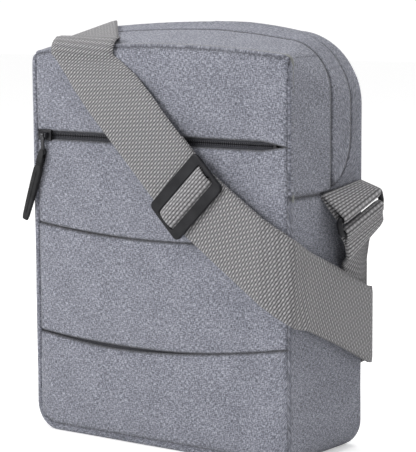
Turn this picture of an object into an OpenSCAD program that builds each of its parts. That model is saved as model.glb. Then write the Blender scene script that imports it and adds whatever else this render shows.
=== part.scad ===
// Small upright crossbody bag: a sewn body with a zipped front pocket, a zipped main
// compartment, and a webbing strap that lies diagonally across the front of the body.
// Origin: middle of the base, on the floor. +Z is up and the front faces -Y.

/* [Body] */
// Width of the bag
bag_w = 210; // [200:2:220]
// Depth of the bag, front to back
bag_d = 82; // [80:1:86]
// Height of the front panel at its corners
front_h = 257; // [252:1:260]
// Height of the back panel at its corners
back_h = 271; // [268:1:276]
// Radius of the back panel's top right corner
back_r = 45; // [35:1:50]
// Radius of its top left corner, which the strap pulls up
pulled_r = 16; // [12:1:30]
// Radius of the bottom corners
base_r = 18; // [14:1:20]
// Thickness of cloth and padding in the side walls
wall = 2.4; // [2:0.1:2.6]
// Height of the seam where the zipped top joins the side panels
gusset_z = 170; // [160:1:175]

/* [Front panels] */
// Height of the front pocket's zip
zip_z = 201.3; // [190:0.1:205]
// Height of the opening that shows the zip
zip_gap = 4.5; // [4:0.1:6]
// Lowest point of the upper pleat
upper_pleat_z = 136; // [125:1:145]
// Lowest point of the lower pleat
lower_pleat_z = 63.5; // [50:0.5:75]

/* [Webbing] */
// Width of the strap
web_w = 45; // [40:1:46]
// Thickness of one layer of webbing
web_t = 1.4; // [1:0.1:1.5]
// Angle of the strap above the adjuster, from horizontal
upper_angle = 45.6; // [44:0.1:47]
// Angle of the strap below the adjuster, from horizontal
lower_angle = 34.9; // [34:0.1:36]

/* [Hidden] */
$fn = 32;
half_w = bag_w / 2;
half_d = bag_d / 2;
face_t = 2.5;                    // front and back panel thickness
bind_w = 3;                      // width of the binding round a panel
front_in = -half_d + face_t;     // plane behind the front panels
back_in = half_d - face_t;       // plane in front of the back panel
zip_y = 25;                      // plane of the main zip
gap = 0.3;                       // clearance between loose layers
tape_t = 0.8;                    // zip tape and lining thickness
arc_n = 8;                       // steps in a corner
divider_y = -25.4;               // wall between the two pockets
thin = 0.02;                     // slab that a loft starts and ends with

// ---------- outlines and lofts ----------

function arc(cx, cz, r, from, to) =
    [for (i = [0:arc_n]) let (q = from + (to - from) * i / arc_n) [cx + r * cos(q), cz + r * sin(q)]];

// How far a plane lies between the front seam (0) and the main zip (1)
function rearward(y) = max(0, min(1, (y - front_in) / (zip_y - front_in)));

// Outline of the body in the XZ plane at a depth y, drawn in by inset
function outline(y, inset) =
    let (u = rearward(y), w = half_w - inset, top = front_h + (back_h - front_h) * u - inset,
        rt = max(3, 8 + (back_r - 8) * u - inset), lt = max(3, 8 + (pulled_r - 8) * u - inset),
        rb = max(3, base_r - inset), crown = 5 - u)
    concat(
        arc(w - rb, inset + rb, rb, -90, 0),
        arc(w - rt, top - rt, rt, 0, 90),
        [for (i = [3:-1:-3]) let (x = i / 4 * (i > 0 ? w - rt : w - lt)) [x, top + crown * (1 - pow(i / 4, 2))]],
        arc(-w + lt, top - lt, lt, 90, 180),
        arc(-w + rb, inset + rb, rb, 180, 270));

// Extrudes an XZ drawing between two depths
module between(y0, y1) translate([0, y1, 0]) rotate([90, 0, 0]) linear_extrude(y1 - y0) children();

// Solid of the body's outline between two depths
module body_loft(y0, y1, inset) hull() {
    between(y0, y0 + thin) polygon(outline(y0, inset));
    between(y1 - thin, y1) polygon(outline(y1, inset));
}

// Wall of the body between two depths and two insets
module wall_ring(y0, y1, outer, inner) difference() {
    body_loft(y0, y1, outer);
    body_loft(y0 - 0.1, y1 + 0.1, inner);
}

module keep(x0, x1, z0, z1) translate([x0, -half_d - 5, z0]) cube([x1 - x0, bag_d + 10, z1 - z0]);

// ---------- front face ----------

function upper_pleat(x) = upper_pleat_z + x / 100 + 7 * pow(x / 100, 2);
function lower_pleat(x) = lower_pleat_z + 4 * x / 100 + 8.5 * pow(x / 100, 2);

// Area between two curves of height, over a half width
module band(low, high, reach) polygon(concat(
    [for (i = [-6:6]) let (x = i * reach / 6) [x, low(x)]],
    [for (i = [6:-1:-6]) let (x = i * reach / 6) [x, high(x)]]));

module face(low, high) color([0.59, 0.60, 0.65]) between(-half_d, front_in) intersection() {
    polygon(outline(front_in, bind_w + 0.1));
    band(low, high, half_w);
}

module front_top_panel() face(function(x) zip_z + zip_gap / 2, function(x) back_h + 10);
module front_pocket_panel() face(function(x) upper_pleat(x) + 0.8, function(x) zip_z - zip_gap / 2);
module front_middle_panel() face(function(x) lower_pleat(x) + 1.2, function(x) upper_pleat(x) - 0.8);
module front_lower_panel() face(function(x) -5, function(x) lower_pleat(x) - 1.2);

module rim(y0, y1) color([0.50, 0.52, 0.55]) between(y0, y1) difference() {
    polygon(outline(y0, 0));
    polygon(outline(y0, bind_w));
}
module front_binding() rim(-half_d, front_in);
module back_binding() rim(back_in, half_d);

module facing(curve) color([0.10, 0.11, 0.16]) between(front_in + 0.1, front_in + 1.1)
    band(function(x) curve(x) - 9, function(x) curve(x) + 9, 98);
module upper_pleat_facing() facing(function(x) upper_pleat(x));
module lower_pleat_facing() facing(function(x) lower_pleat(x));

module pocket_divider() color([0.12, 0.12, 0.15]) between(divider_y - 0.6, divider_y + 0.6)
    polygon(outline(divider_y - 0.6, wall + gap));

// ---------- front zip ----------

zip_from = -98;
zip_to = 92;
module tape(z0) color([0.09, 0.10, 0.14]) translate([zip_from, front_in + 0.1, z0])
    cube([zip_to - zip_from, tape_t, 11.5]);
module front_zip_tape_upper() tape(zip_z + 0.4);
module front_zip_tape_lower() tape(zip_z - 11.9);
module front_zip_coil() color([0.08, 0.08, 0.11]) translate([zip_from, front_in - 1.3, zip_z - 1.5])
    cube([zip_to - zip_from, 1.4, 3]);
module front_zip_stops() color([0.08, 0.08, 0.10]) for (x = [zip_from - 2.4, zip_to + 0.2])
    translate([x, front_in - 1.6, zip_z - 1.8]) cube([2.2, 1.7, 3.6]);

// A slider lies with its track along X and its outside towards -Y. The origin is on the cloth.
bar_h = 3.7;    // height of the slider's bar above the cloth
link_w = 3.2;   // width of the pull's link
link_l = 11;    // from the bar to the grip's pin
module slider(track_turn) {
    color([0.10, 0.10, 0.11]) {
        rotate([0, track_turn, 0]) {
            translate([-5.5, -1.6, -4]) cube([11, 1.3, 8]);
            translate([-4, -0.4, -1.5]) cube([8, 0.9, 3]);
        }
        for (s = [-1, 1]) translate([s * (link_w / 2 + 1) - 0.6, -5, -1.8]) cube([1.2, 3.5, 3.6]);
        translate([-link_w / 2 - 1, -bar_h, 0]) rotate([0, 90, 0]) cylinder(r = 0.7, h = link_w + 2);
    }
}
// The link swings on the slider's bar and carries the grip on a pin through its lower eye
module link() color([0.13, 0.13, 0.14]) difference() {
    union() {
        translate([-link_w / 2, -bar_h, 0]) rotate([0, 90, 0]) cylinder(r = 1.7, h = link_w);
        translate([-link_w / 2, -bar_h - 0.8, -link_l]) cube([link_w, 1.6, link_l]);
        translate([0, -bar_h + 0.8, -link_l]) rotate([90, 0, 0]) cylinder(r = 2.2, h = 1.6);
    }
    translate([-link_w, -bar_h, 0]) rotate([0, 90, 0]) cylinder(r = 1, h = 2 * link_w);
    translate([0, -bar_h + 2, -link_l]) rotate([90, 0, 0]) cylinder(r = 1.1, h = 4);
}
// Grip of a given length: pin and two cheeks, a knot, then a flat tongue
module grip(length) color([0.09, 0.09, 0.10]) translate([0, -bar_h, -link_l]) {
    translate([0, 1.9, 0]) rotate([90, 0, 0]) cylinder(r = 0.8, h = 3.8);
    for (y = [1.2, -1.9]) hull() {
        translate([0, y + 0.7, 0]) rotate([90, 0, 0]) cylinder(r = 2, h = 0.7);
        translate([-2.6, y, -7]) cube([5.2, 0.7, 1.5]);
    }
    translate([-2.8, -1.9, -9]) cube([5.6, 3.8, 5.4]);
    hull() {
        translate([-3.4, -1.7, -15]) cube([6.8, 3.6, 6]);
        translate([-2.6, -1.2, -length]) cube([5.2, 2.4, 4]);
    }
}

pull_at = [-93, -half_d, zip_z];
pull_lean = 20;
module front_zip_slider() translate(pull_at) slider(0);
module front_pull_link() translate(pull_at) link();
// The grip leans outward past the edge of the bag, about its pin
module front_pull_grip() translate(pull_at)
    translate([0, 0, -link_l]) rotate([0, pull_lean, 0]) translate([0, 0, link_l]) grip(50);

// ---------- sides, base and top ----------

module gusset(x0, x1, z0, z1) color([0.57, 0.58, 0.63]) intersection() {
    between(front_in, back_in) difference() {
        polygon(outline(front_in, 0));
        polygon(outline(front_in, wall));
    }
    keep(x0, x1, z0, z1);
}
module left_side_panel() gusset(-half_w - 1, 0, base_r, gusset_z);
module right_side_panel() gusset(0, half_w + 1, base_r, gusset_z);
module base_panel() gusset(-half_w - 1, half_w + 1, -1, base_r);

strip_end = 4;      // plane of the topstitched seam between strip and flap
flap_end = 22.8;    // free edge of the flap over the zip
mitre_x = half_w - 9;
module strip(x0, x1, z0) color([0.59, 0.60, 0.65]) intersection() {
    wall_ring(front_in, strip_end, 0, wall);
    keep(x0, x1, z0, back_h + 12);
}
module top_strip() strip(-mitre_x, mitre_x, gusset_z);
module left_top_strip() strip(-half_w - 1, -mitre_x, gusset_z);
module right_top_strip() strip(mitre_x, half_w + 1, gusset_z);

module hood(y0, y1, outer, inner, z0) intersection() {
    wall_ring(y0, y1, outer, inner);
    keep(-half_w - 1, half_w + 1, z0, back_h + 12);
}
// The same behind the main zip, where the outline no longer changes
module rear_hood(y0, y1, outer, inner, z0) intersection() {
    between(y0, y1) difference() {
        polygon(outline(y0, outer));
        polygon(outline(y0, inner));
    }
    keep(-half_w - 1, half_w + 1, z0, back_h + 12);
}
module zip_flap() color([0.57, 0.58, 0.63]) hood(strip_end, flap_end, 0, wall, gusset_z);
module back_strip() color([0.56, 0.57, 0.62]) rear_hood(2 * zip_y - flap_end, back_in, 0, wall, gusset_z);
module main_zip_tape_front() color([0.09, 0.10, 0.14])
    hood(zip_y - 10, zip_y - gap, wall + 0.2, wall + 0.2 + tape_t, gusset_z + 2);
module main_zip_tape_back() color([0.09, 0.10, 0.14])
    rear_hood(zip_y + gap, zip_y + 10, wall + 0.2, wall + 0.2 + tape_t, gusset_z + 2);
module main_zip_coil() color([0.08, 0.08, 0.11])
    hood(zip_y - 1.5, zip_y + 1.5, wall - 1.4, wall + 0.1, gusset_z + 2);

main_slider_at = [-half_w, zip_y, gusset_z + 10];
module on_left_side() translate(main_slider_at) rotate([0, 0, -90]) children();
// The main zip's track is upright here, so its slider is turned and its bar lies across it
module main_zip_slider() on_left_side() slider(90);
module main_pull_link() on_left_side() link();
module main_pull_grip() on_left_side() grip(30);

// ---------- back and inside ----------

module back_panel() color([0.55, 0.56, 0.61]) between(back_in, half_d) polygon(outline(back_in, bind_w + 0.1));
module back_foam() color([0.85, 0.85, 0.82]) between(back_in - 4, back_in - 0.2) polygon(outline(back_in, 4.4));
module back_lining() color([0.14, 0.14, 0.17]) between(back_in - 5.2, back_in - 4.4) polygon(outline(back_in, 4.8));
module slip_pocket() color([0.16, 0.16, 0.20]) translate([-78, back_in - 6.6, 36]) cube([156, 0.8, 128]);
lining_from = divider_y + 1;
module lining(y1, z0, z1) color([0.14, 0.14, 0.17]) intersection() {
    wall_ring(lining_from, y1, wall + gap, wall + gap + tape_t);
    keep(-half_w, half_w, z0, z1);
}
module side_lining() lining(back_in - 5.4, -1, gusset_z);
module top_lining() lining(zip_y - 10.4, gusset_z + 0.5, back_h + 12);
module base_board() color([0.20, 0.20, 0.21])
    translate([-(half_w - base_r - 1), lining_from + 1, wall + gap + tape_t + 0.2])
        cube([2 * (half_w - base_r - 1), back_in - lining_from - 7.5, 2]);

// ---------- strap route, laid flat on the front and wrapped round the body ----------

// Flat coordinates: a runs with +X and b with +Z on the front face; h is the height off it.
edge_z = 262;        // where the strap turns over the top of the front
turn_r = 1;          // radius of a turn round an edge
top_rise = 12;       // the top climbs backward by this many degrees
left_x = 84;         // where the turn round the top left edge starts
left_r = 20;         // its radius
left_turn = 78;      // and how far it turns
adjust_a = 32;       // middle of the adjuster
adjust_b = 169.5;
side_fall = 25;      // fall of the strap along the side, degrees

quarter = turn_r * PI / 2;
side_from = half_w - turn_r + quarter;              // flat position of the side's front edge
side_to = side_from + bag_d - 2 * turn_r;           // and of its back edge
back_from = side_to + quarter;

function round_side(a, b, h) = let (x = half_w - turn_r, y = half_d - turn_r, r = turn_r + h)
    a < x ? [a, -half_d - h, b]
    : a < side_from ? let (q = (a - x) / turn_r * 180 / PI) [x + r * sin(q), -y - r * cos(q), b]
    : a < side_to ? [half_w + h, a - side_from - y, b]
    : a < back_from ? let (q = (a - side_to) / turn_r * 180 / PI) [x + r * cos(q), y + r * sin(q), b]
    : [x - (a - back_from), half_d + h, b];

function over_top(a, b, h) = let (d = b - edge_z + turn_r, q = max(0, min(90 - top_rise, d / turn_r * 180 / PI)),
        e = d - turn_r * q * PI / 180, r = turn_r + h)
    [a, turn_r - half_d - r * cos(q) + e * sin(q), edge_z - turn_r + r * sin(q) + e * cos(q)];

function round_left(a, b, h) = let (d = -a - left_x, q = max(0, min(left_turn, d / left_r * 180 / PI)),
        e = d - left_r * q * PI / 180, r = left_r + h)
    d <= 0 ? over_top(a, b, h)
    : over_top(-left_x - r * sin(q) - e * cos(q), b, -left_r + r * cos(q) - e * sin(q));

// Rulings of the strap: [first edge, second edge, height], in flat coordinates
function upper_a(b) = adjust_a - (b - adjust_b) / tan(upper_angle);
function upper_b(a) = adjust_b - (a - adjust_a) * tan(upper_angle);
function lower_b(a) = adjust_b - (a - adjust_a) * tan(lower_angle);
function side_b(a) = lower_b(half_w) - (a - half_w) * tan(side_fall);
function level(b, h) = let (s = web_w / 2 / sin(upper_angle)) [[upper_a(b) - s, b], [upper_a(b) + s, b], h];
function upright(a, b, angle, h) = let (s = web_w / 2 / cos(angle)) [[a, b - s], [a, b + s], h];
function square_on(a, b, angle, h) = let (s = web_w / 2)
    [[a - s * sin(angle), b - s * cos(angle)], [a + s * sin(angle), b + s * cos(angle)], h];

// Wraps one ruling, for a layer that starts off the route and is web_t thick: four corners
function wrap_corners(r, off, t, over) = let (h0 = r[2] + off, h1 = h0 + t)
    over ? [round_left(r[0][0], r[0][1], h0), round_left(r[1][0], r[1][1], h0),
            round_left(r[1][0], r[1][1], h1), round_left(r[0][0], r[0][1], h1)]
         : [round_side(r[0][0], r[0][1], h0), round_side(r[1][0], r[1][1], h0),
            round_side(r[1][0], r[1][1], h1), round_side(r[0][0], r[0][1], h1)];

// Free rulings: [centre, direction of the width], and the two faces either side of the centre
function unit(v) = v / norm(v);
function free_corners(route, i, low, high, width) =
    let (p = route[i][0], w = unit(route[i][1]) * width / 2, last = len(route) - 1,
        along = route[min(i + 1, last)][0] - route[max(i - 1, 0)][0], n = unit(cross(w, along)))
    [p - w + low * n, p + w + low * n, p + w + high * n, p - w + high * n];

// A strip through rows of four corners. Its two faces are split along the same diagonals
module strip_through(rows) let (n = len(rows)) polyhedron(
    points = [for (row = rows) for (p = row) p],
    faces = concat(
        [[0, 1, 2], [0, 2, 3]],
        [for (i = [0:n - 2]) for (k = [0:3]) let (p = 4 * i + k, q = 4 * i + (k + 1) % 4)
            each k == 2 ? [[p, p + 4, q + 4], [p, q + 4, q]] : [[p, p + 4, q], [q, p + 4, q + 4]]],
        [[4 * n - 4, 4 * n - 2, 4 * n - 3], [4 * n - 4, 4 * n - 1, 4 * n - 2]]));

// The strap is folded back on itself along a crease low on the back, and climbs again from there
return_climb = 48;
return_b = 91;      // height at which it rounds the back edge
return_h = 1;       // and how far it is off the body
function return_at(a) = return_b - (a - back_from) * tan(return_climb);
fold_a = back_from + (return_b - side_b(back_from)) / (tan(return_climb) - tan(side_fall));
crease = 90 - (side_fall + return_climb) / 2;
crease_half = web_w / 2 / cos((return_climb - side_fall) / 2);
function crease_ruling(h) = let (u = crease_half * cos(crease), v = crease_half * sin(crease))
    [[fold_a - u, side_b(fold_a) - v], [fold_a + u, side_b(fold_a) + v], h];

// Height of the strap off the body: over the top edge, above the pockets, round the edges
h_top = 2.2;
h_edge = 3.4;
h_front = 8;
h_back = 6.4;

top_arc = turn_r * (90 - top_rise) * PI / 180;
left_arc = left_r * left_turn * PI / 180;
// Edges of the strap where it runs back over the top and down the left side
top_right = -30.7;
function low_edge(a) = edge_z + 1 + 1.05 * (-left_x - a);
function high_edge(a) = edge_z + 1.2 * (top_right - max(a, -left_x)) + 1.05 * max(0, -left_x - a);
over_rulings = concat(
    [for (i = [6:-1:0]) let (a = -left_x - left_arc * i / 6) [[a, low_edge(a)], [a, high_edge(a)], h_top]],
    [[[-left_x, edge_z + 0.8], [-66, high_edge(-66)], h_top]],
    [[[-left_x + 0.2, edge_z + 0.6], [-48, high_edge(-48)], h_top]],
    [for (i = [4:-1:0]) let (b = edge_z - turn_r + top_arc * i / 4) [[-left_x + 0.4, b], [top_right, b], h_top]],
    [[[-71.5, 244], [-12, 244], 4.5], level(232, 6.6), level(218, h_front)]);
front_rulings = [
    square_on(adjust_a - 20, upper_b(adjust_a - 20), upper_angle, h_front),
    square_on(adjust_a, adjust_b, (upper_angle + lower_angle) / 2, h_front),
    square_on(adjust_a + 20, lower_b(adjust_a + 20), lower_angle, h_front)];
side_rulings = concat(
    [upright(88, lower_b(88), lower_angle, h_front), upright(97, lower_b(97), lower_angle, 6)],
    [for (i = [0:4]) let (a = half_w - turn_r + quarter * i / 4) upright(a, side_b(a), lower_angle, h_edge)],
    [upright(side_from + 12, side_b(side_from + 12), side_fall, 4.6),
     upright(side_from + 44, side_b(side_from + 44), side_fall, 6.4)],
    [for (i = [0:4]) let (a = side_to + quarter * i / 4) upright(a, side_b(a), side_fall, h_back)],
    [crease_ruling(h_back)]);

// Free stretch down the left side to the tab, [centre, direction of the width]
left_route = [
    [[-108.4, -6, 152], [0, 1, 0]],
    [[-108.4, -6, 170], [0, 1, 0]],
    [[-111, -5, 186], [0, 1, 0.06]],
    [[-114, 0, 204], [0, 1, 0.2]],
    [[-115.5, 8, 222], [0, 1, 0.35]],
    [[-113.5, 17, 238], [-0.05, 1, 0.3]]];

left_rows = [for (i = [0:len(left_route) - 1]) free_corners(left_route, i, web_t / 2, -web_t / 2, web_w)];
over_rows = [for (r = over_rulings) wrap_corners(r, 0, web_t, true)];
front_rows = [for (r = front_rulings) wrap_corners(r, 0, web_t, false)];
side_rows = [for (r = side_rulings) wrap_corners(r, 0, web_t, false)];
module shoulder_strap() color([0.55, 0.54, 0.53])
    strip_through(concat(left_rows, over_rows, front_rows, side_rows));

under = -web_t - 0.1;
under_rows = [for (r = concat(front_rulings, side_rulings)) wrap_corners(r, under, web_t, false)];
module strap_under_layer() color([0.53, 0.52, 0.51]) strip_through(under_rows);

// ---------- strap return: from its fold, round the back edge and up to the ring ----------

double_t = 2 * web_t + 0.1;
return_rulings = concat(
    [crease_ruling(return_h)],
    [for (i = [4:-1:0]) let (a = side_to + quarter * i / 4) upright(a, return_at(a), return_climb, return_h)]);
return_rows = [for (r = return_rulings) wrap_corners(r, 0, double_t, false)];

// Half ring of webbing that joins the two runs along the crease
fold_r = (h_back + web_t - return_h) / 2;
module strap_fold() color([0.55, 0.54, 0.53])
    translate([half_w - turn_r - (fold_a - back_from), half_d + return_h + fold_r, side_b(fold_a)])
        rotate([0, crease - 90, 0]) linear_extrude(2 * crease_half, center = true) difference() {
            circle(fold_r);
            circle(fold_r - double_t);
            translate([-0.1, -fold_r - 1]) square(2 * fold_r + 2);
        }

// The ring hangs from the tab: its bars lie front to back and rise towards the back
ring_at = [118.2, 17, 161.5];
ring_rise = 19;
ring_reach = 9.5;    // from the ring's upper bar down to its lower bar
bar_r = 1.9;
module at_ring() translate(ring_at) rotate([ring_rise, 0, 0]) children();
function ring_point(x, z) = ring_at + [x, -z * sin(ring_rise), z * cos(ring_rise)];
bar_way = [0, cos(ring_rise), sin(ring_rise)];

// [front edge, back edge] up the loop, then straight up to the ring's lower bar
loop_edges = [
    [[107.6, 29, 92], [108, 43, 133]],
    [[107.8, 14, 120.5], [108.5, 47, 142]],
    [[117.5, 5, 128], [116, 46.5, 147.5]]];
loop_route = concat(
    [for (e = loop_edges) [(e[0] + e[1]) / 2, e[1] - e[0], norm(e[1] - e[0])]],
    [for (z = [8, 5, 2.45]) [ring_point(0, -ring_reach - z), bar_way, web_w]]);
loop_rows = [for (i = [0:len(loop_route) - 1])
    free_corners(loop_route, i, -double_t / 2, double_t / 2, loop_route[i][2])];
module strap_return() color([0.55, 0.54, 0.53]) strip_through(concat(return_rows, loop_rows));

// ---------- tabs, ring and adjuster ----------

module bar(length) rotate([90, 0, 0]) cylinder(r = bar_r, h = length, center = true);
module right_ring() color([0.08, 0.08, 0.09]) at_ring() {
    for (z = [0, -ring_reach]) translate([0, 0, z]) bar(50);
    for (s = [-1, 1]) translate([-bar_r, s * 25 - 1.9, -ring_reach - bar_r])
        cube([2 * bar_r, 3.8, ring_reach + 2 * bar_r]);
}
module ring_bight() color([0.55, 0.54, 0.53]) at_ring() translate([0, 0, -ring_reach]) rotate([90, 0, 0])
    linear_extrude(web_w - 1, center = true) difference() {
        circle(bar_r + gap + web_t);
        circle(bar_r + gap);
        translate([-double_t / 2 - gap, -5]) square([double_t + 2 * gap, 4]);
    }

// The right tab leaves the gusset seam, goes round the ring's upper bar and comes back under itself
tab_r = bar_r + gap;
tab_root = [-11.3, 10.9];   // where it leaves the seam, across and up from the upper bar
tab_way = atan2(tab_root.y, tab_root.x) - 90;
root_way = [0, 0.99, 0.13];
function tab_side(share, off, way) = let (p = share * tab_root + off * [cos(tab_way), sin(tab_way)])
    [ring_point(p.x, p.y), way];
tab_route = concat(
    [tab_side(1, 0.1, root_way), tab_side(0.5, 1.2, root_way + bar_way)],
    [for (i = [0:8]) let (q = tab_way - 22.5 * i) [ring_point(tab_r * cos(q), tab_r * sin(q)), bar_way]],
    [tab_side(0.5, -1.2, root_way + bar_way), tab_side(1, -0.1, root_way)]);
module right_tab() color([0.55, 0.54, 0.53])
    strip_through([for (i = [0:len(tab_route) - 1]) free_corners(tab_route, i, -web_t, 0, web_w)]);
module left_tab() color([0.55, 0.54, 0.53]) translate([-half_w - 2.4, -6 - web_w / 2, 146]) cube([2.2, web_w, 24]);

// The adjuster lies square to the upper run: u across the strap, v up along it
glide_l = 51;
glide_low = -17.8;  // lower edge of its frame, along v
glide_high = 13;    // upper edge
glide_t = 2.8;
middle_bar = -2.6;  // middle line of its middle bar
glide_h = h_front + web_t + 0.4;
module at_adjuster() translate([adjust_a, -half_d - glide_h, adjust_b]) rotate([90, 0, 0])
    rotate([0, 0, 90 - upper_angle]) children();
module tri_glide() color([0.07, 0.07, 0.08]) at_adjuster() linear_extrude(glide_t) difference() {
    hull() for (x = [-1, 1]) for (y = [glide_low + 3, glide_high - 3])
        translate([x * (glide_l / 2 - 3), y]) circle(3);
    for (y = [-1, 1]) translate([-web_w / 2 - 0.3, middle_bar + y * 4.9 - 2.7]) square([web_w + 0.6, 5.4]);
}
// Sewn end of the webbing, wrapped over the adjuster's middle bar
module adjuster_bight() color([0.55, 0.54, 0.53]) at_adjuster() translate([0, middle_bar, 0]) rotate([90, 0, 90])
    linear_extrude(web_w - 1, center = true) difference() {
        polygon([[-7.2, 0.1], [-4.2, 4.6], [4.2, 4.6], [7.2, 0.1]]);
        polygon([[-4.6, 0], [-2.8, 3.1], [2.8, 3.1], [4.6, 0]]);
        translate([-10, -1]) square([20, 1.1]);
    }

front_top_panel();
front_pocket_panel();
front_middle_panel();
front_lower_panel();
front_binding();
upper_pleat_facing();
lower_pleat_facing();
front_zip_tape_upper();
front_zip_tape_lower();
front_zip_coil();
front_zip_stops();
front_zip_slider();
front_pull_link();
front_pull_grip();
pocket_divider();
left_side_panel();
right_side_panel();
base_panel();
top_strip();
left_top_strip();
right_top_strip();
zip_flap();
main_zip_tape_front();
main_zip_tape_back();
main_zip_coil();
main_zip_slider();
main_pull_link();
main_pull_grip();
back_strip();
back_panel();
back_binding();
back_foam();
back_lining();
slip_pocket();
side_lining();
top_lining();
base_board();
left_tab();
right_tab();
right_ring();
tri_glide();
adjuster_bight();
shoulder_strap();
strap_under_layer();
strap_fold();
strap_return();
ring_bight();
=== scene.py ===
# %% [markdown]
# A small upright crossbody bag, built round its fixed frame. The frame gives the sizes and the
# places; this script adds cloth, webbing, zips and stitches. Lengths are worked out in
# millimetres, the unit a bag maker cuts in, and are turned into metres when a mesh is made.

# %% Load the frame
import math

import bmesh
import bpy
import numpy as np
from mathutils import Matrix, Vector, noise


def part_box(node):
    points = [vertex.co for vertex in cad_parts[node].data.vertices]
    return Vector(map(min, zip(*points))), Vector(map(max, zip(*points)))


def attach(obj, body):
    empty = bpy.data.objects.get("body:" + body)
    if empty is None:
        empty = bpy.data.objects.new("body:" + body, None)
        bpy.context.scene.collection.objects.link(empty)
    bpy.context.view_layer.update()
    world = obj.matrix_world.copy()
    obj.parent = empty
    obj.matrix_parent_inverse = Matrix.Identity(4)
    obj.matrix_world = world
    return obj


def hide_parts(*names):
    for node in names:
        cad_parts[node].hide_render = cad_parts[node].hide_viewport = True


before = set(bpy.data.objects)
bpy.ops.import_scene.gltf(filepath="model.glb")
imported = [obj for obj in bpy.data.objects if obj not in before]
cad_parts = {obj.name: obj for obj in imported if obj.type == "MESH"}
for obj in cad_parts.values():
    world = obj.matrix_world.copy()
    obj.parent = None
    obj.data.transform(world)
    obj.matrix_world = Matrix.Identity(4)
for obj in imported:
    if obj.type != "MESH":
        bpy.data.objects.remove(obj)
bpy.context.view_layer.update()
MM = 0.001


def box_mm(node):
    low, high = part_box(node)
    return np.array(low) / MM, np.array(high) / MM


front_low, front_high = box_mm("front_binding")
back_low, back_high = box_mm("back_binding")
half_w = front_high[0]
half_d = back_high[1]
print("bag", 2 * half_w, "wide,", 2 * half_d, "deep,", back_high[2], "high, in mm")

# %% [markdown]
# The camera stands to the right of the bag and a little above its middle, far enough away for a
# long lens, so the upright edges stay nearly parallel. Its turn is written as three simple
# rotations, which are easier to read than one set of angles.

# %% Camera
AZIMUTH, ELEVATION, ROLL = 36.99, 7.07, -0.36
camera = bpy.data.objects.new("camera", bpy.data.cameras.new("camera"))
camera.location = Vector((747.8, -977.5, 294.4)) * MM
turn = Matrix.Rotation(math.radians(AZIMUTH), 4, "Z")
turn = turn @ Matrix.Rotation(math.radians(90 - ELEVATION), 4, "X")
turn = turn @ Matrix.Rotation(math.radians(ROLL), 4, "Z")
camera.rotation_euler = turn.to_euler()
camera.data.sensor_width = 36
camera.data.lens = 149.1
bpy.context.collection.objects.link(camera)
bpy.context.scene.camera = camera
print("camera", [round(v, 3) for v in camera.location])

# %% [markdown]
# Plain studio light: a white world fills the shadows, one wide soft lamp on the left in front
# makes the front brighter than the side, and a second one above keeps the top light. The camera
# sees the world at full white, but it lights the bag with a little over half of that.

# %% Floor and light
bpy.context.scene.view_settings.view_transform = "Standard"
world = bpy.data.worlds.new("studio")
bpy.context.scene.world = world
world.use_nodes = True
sky = world.node_tree
sky.nodes["Background"].inputs["Color"].default_value = (1.0, 1.0, 1.0, 1.0)
seen = sky.nodes.new("ShaderNodeLightPath")
strength = sky.nodes.new("ShaderNodeMapRange")
strength.inputs["To Min"].default_value = 0.6
strength.inputs["To Max"].default_value = 1.05
sky.links.new(seen.outputs["Is Camera Ray"], strength.inputs["Value"])
sky.links.new(strength.outputs["Result"], sky.nodes["Background"].inputs["Strength"])


def lamp(name, place, aim, width, watts):
    data = bpy.data.lights.new(name, "AREA")
    data.shape = "DISK"
    data.size = width
    data.energy = watts
    light = bpy.data.objects.new(name, data)
    light.location = place
    light.rotation_euler = (Vector(aim) - Vector(place)).to_track_quat("-Z", "Y").to_euler()
    bpy.context.collection.objects.link(light)


lamp("front_lamp", (-0.9, -1.5, 1.1), (0, 0, 0.13), 0.9, 22)
lamp("top_lamp", (0.2, 0.1, 1.6), (0, 0, 0.1), 1.0, 11)

# %% [markdown]
# Finishes are small node groups. Each one starts from the cloth's own lengthwise and crosswise
# measures (its UV map, in metres), so that a weave keeps its real size on every panel.


# %% Helpers for finishes
def start_finish(name, roughness, sheen=0.0):
    finish = bpy.data.materials.new(name)
    finish.use_nodes = True
    shader = finish.node_tree.nodes["Principled BSDF"]
    shader.inputs["Roughness"].default_value = roughness
    shader.inputs["Sheen Weight"].default_value = sheen
    shader.inputs["Sheen Roughness"].default_value = 0.6
    shader.inputs["Specular IOR Level"].default_value = 0.35
    return finish, finish.node_tree, shader


def calc(tree, kind, first, second=None):
    node = tree.nodes.new("ShaderNodeMath")
    node.operation = kind
    for i, value in enumerate((first, second)):
        if value is None:
            continue
        if isinstance(value, (int, float)):
            node.inputs[i].default_value = value
        else:
            tree.links.new(value, node.inputs[i])
    return node.outputs[0]


def cloth_measures(tree):
    uv = tree.nodes.new("ShaderNodeUVMap")
    parts = tree.nodes.new("ShaderNodeSeparateXYZ")
    tree.links.new(uv.outputs[0], parts.inputs[0])
    return uv.outputs[0], parts.outputs[0], parts.outputs[1]


def speckle(tree, vector, scale, detail=2.0, rough=0.6):
    node = tree.nodes.new("ShaderNodeTexNoise")
    node.inputs["Scale"].default_value = 1.0
    node.inputs["Detail"].default_value = detail
    node.inputs["Roughness"].default_value = rough
    spread = tree.nodes.new("ShaderNodeVectorMath")
    spread.operation = "MULTIPLY"
    spread.inputs[1].default_value = scale
    tree.links.new(vector, spread.inputs[0])
    tree.links.new(spread.outputs[0], node.inputs["Vector"])
    return node.outputs["Fac"]


def ramp(tree, value, stops):
    node = tree.nodes.new("ShaderNodeValToRGB")
    steps = node.color_ramp.elements
    while len(steps) < len(stops):
        steps.new(0.5)
    for step, (place, colour) in zip(steps, stops):
        step.position = place
        step.color = (*colour, 1.0)
    tree.links.new(value, node.inputs[0])
    return node.outputs[0]


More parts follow.
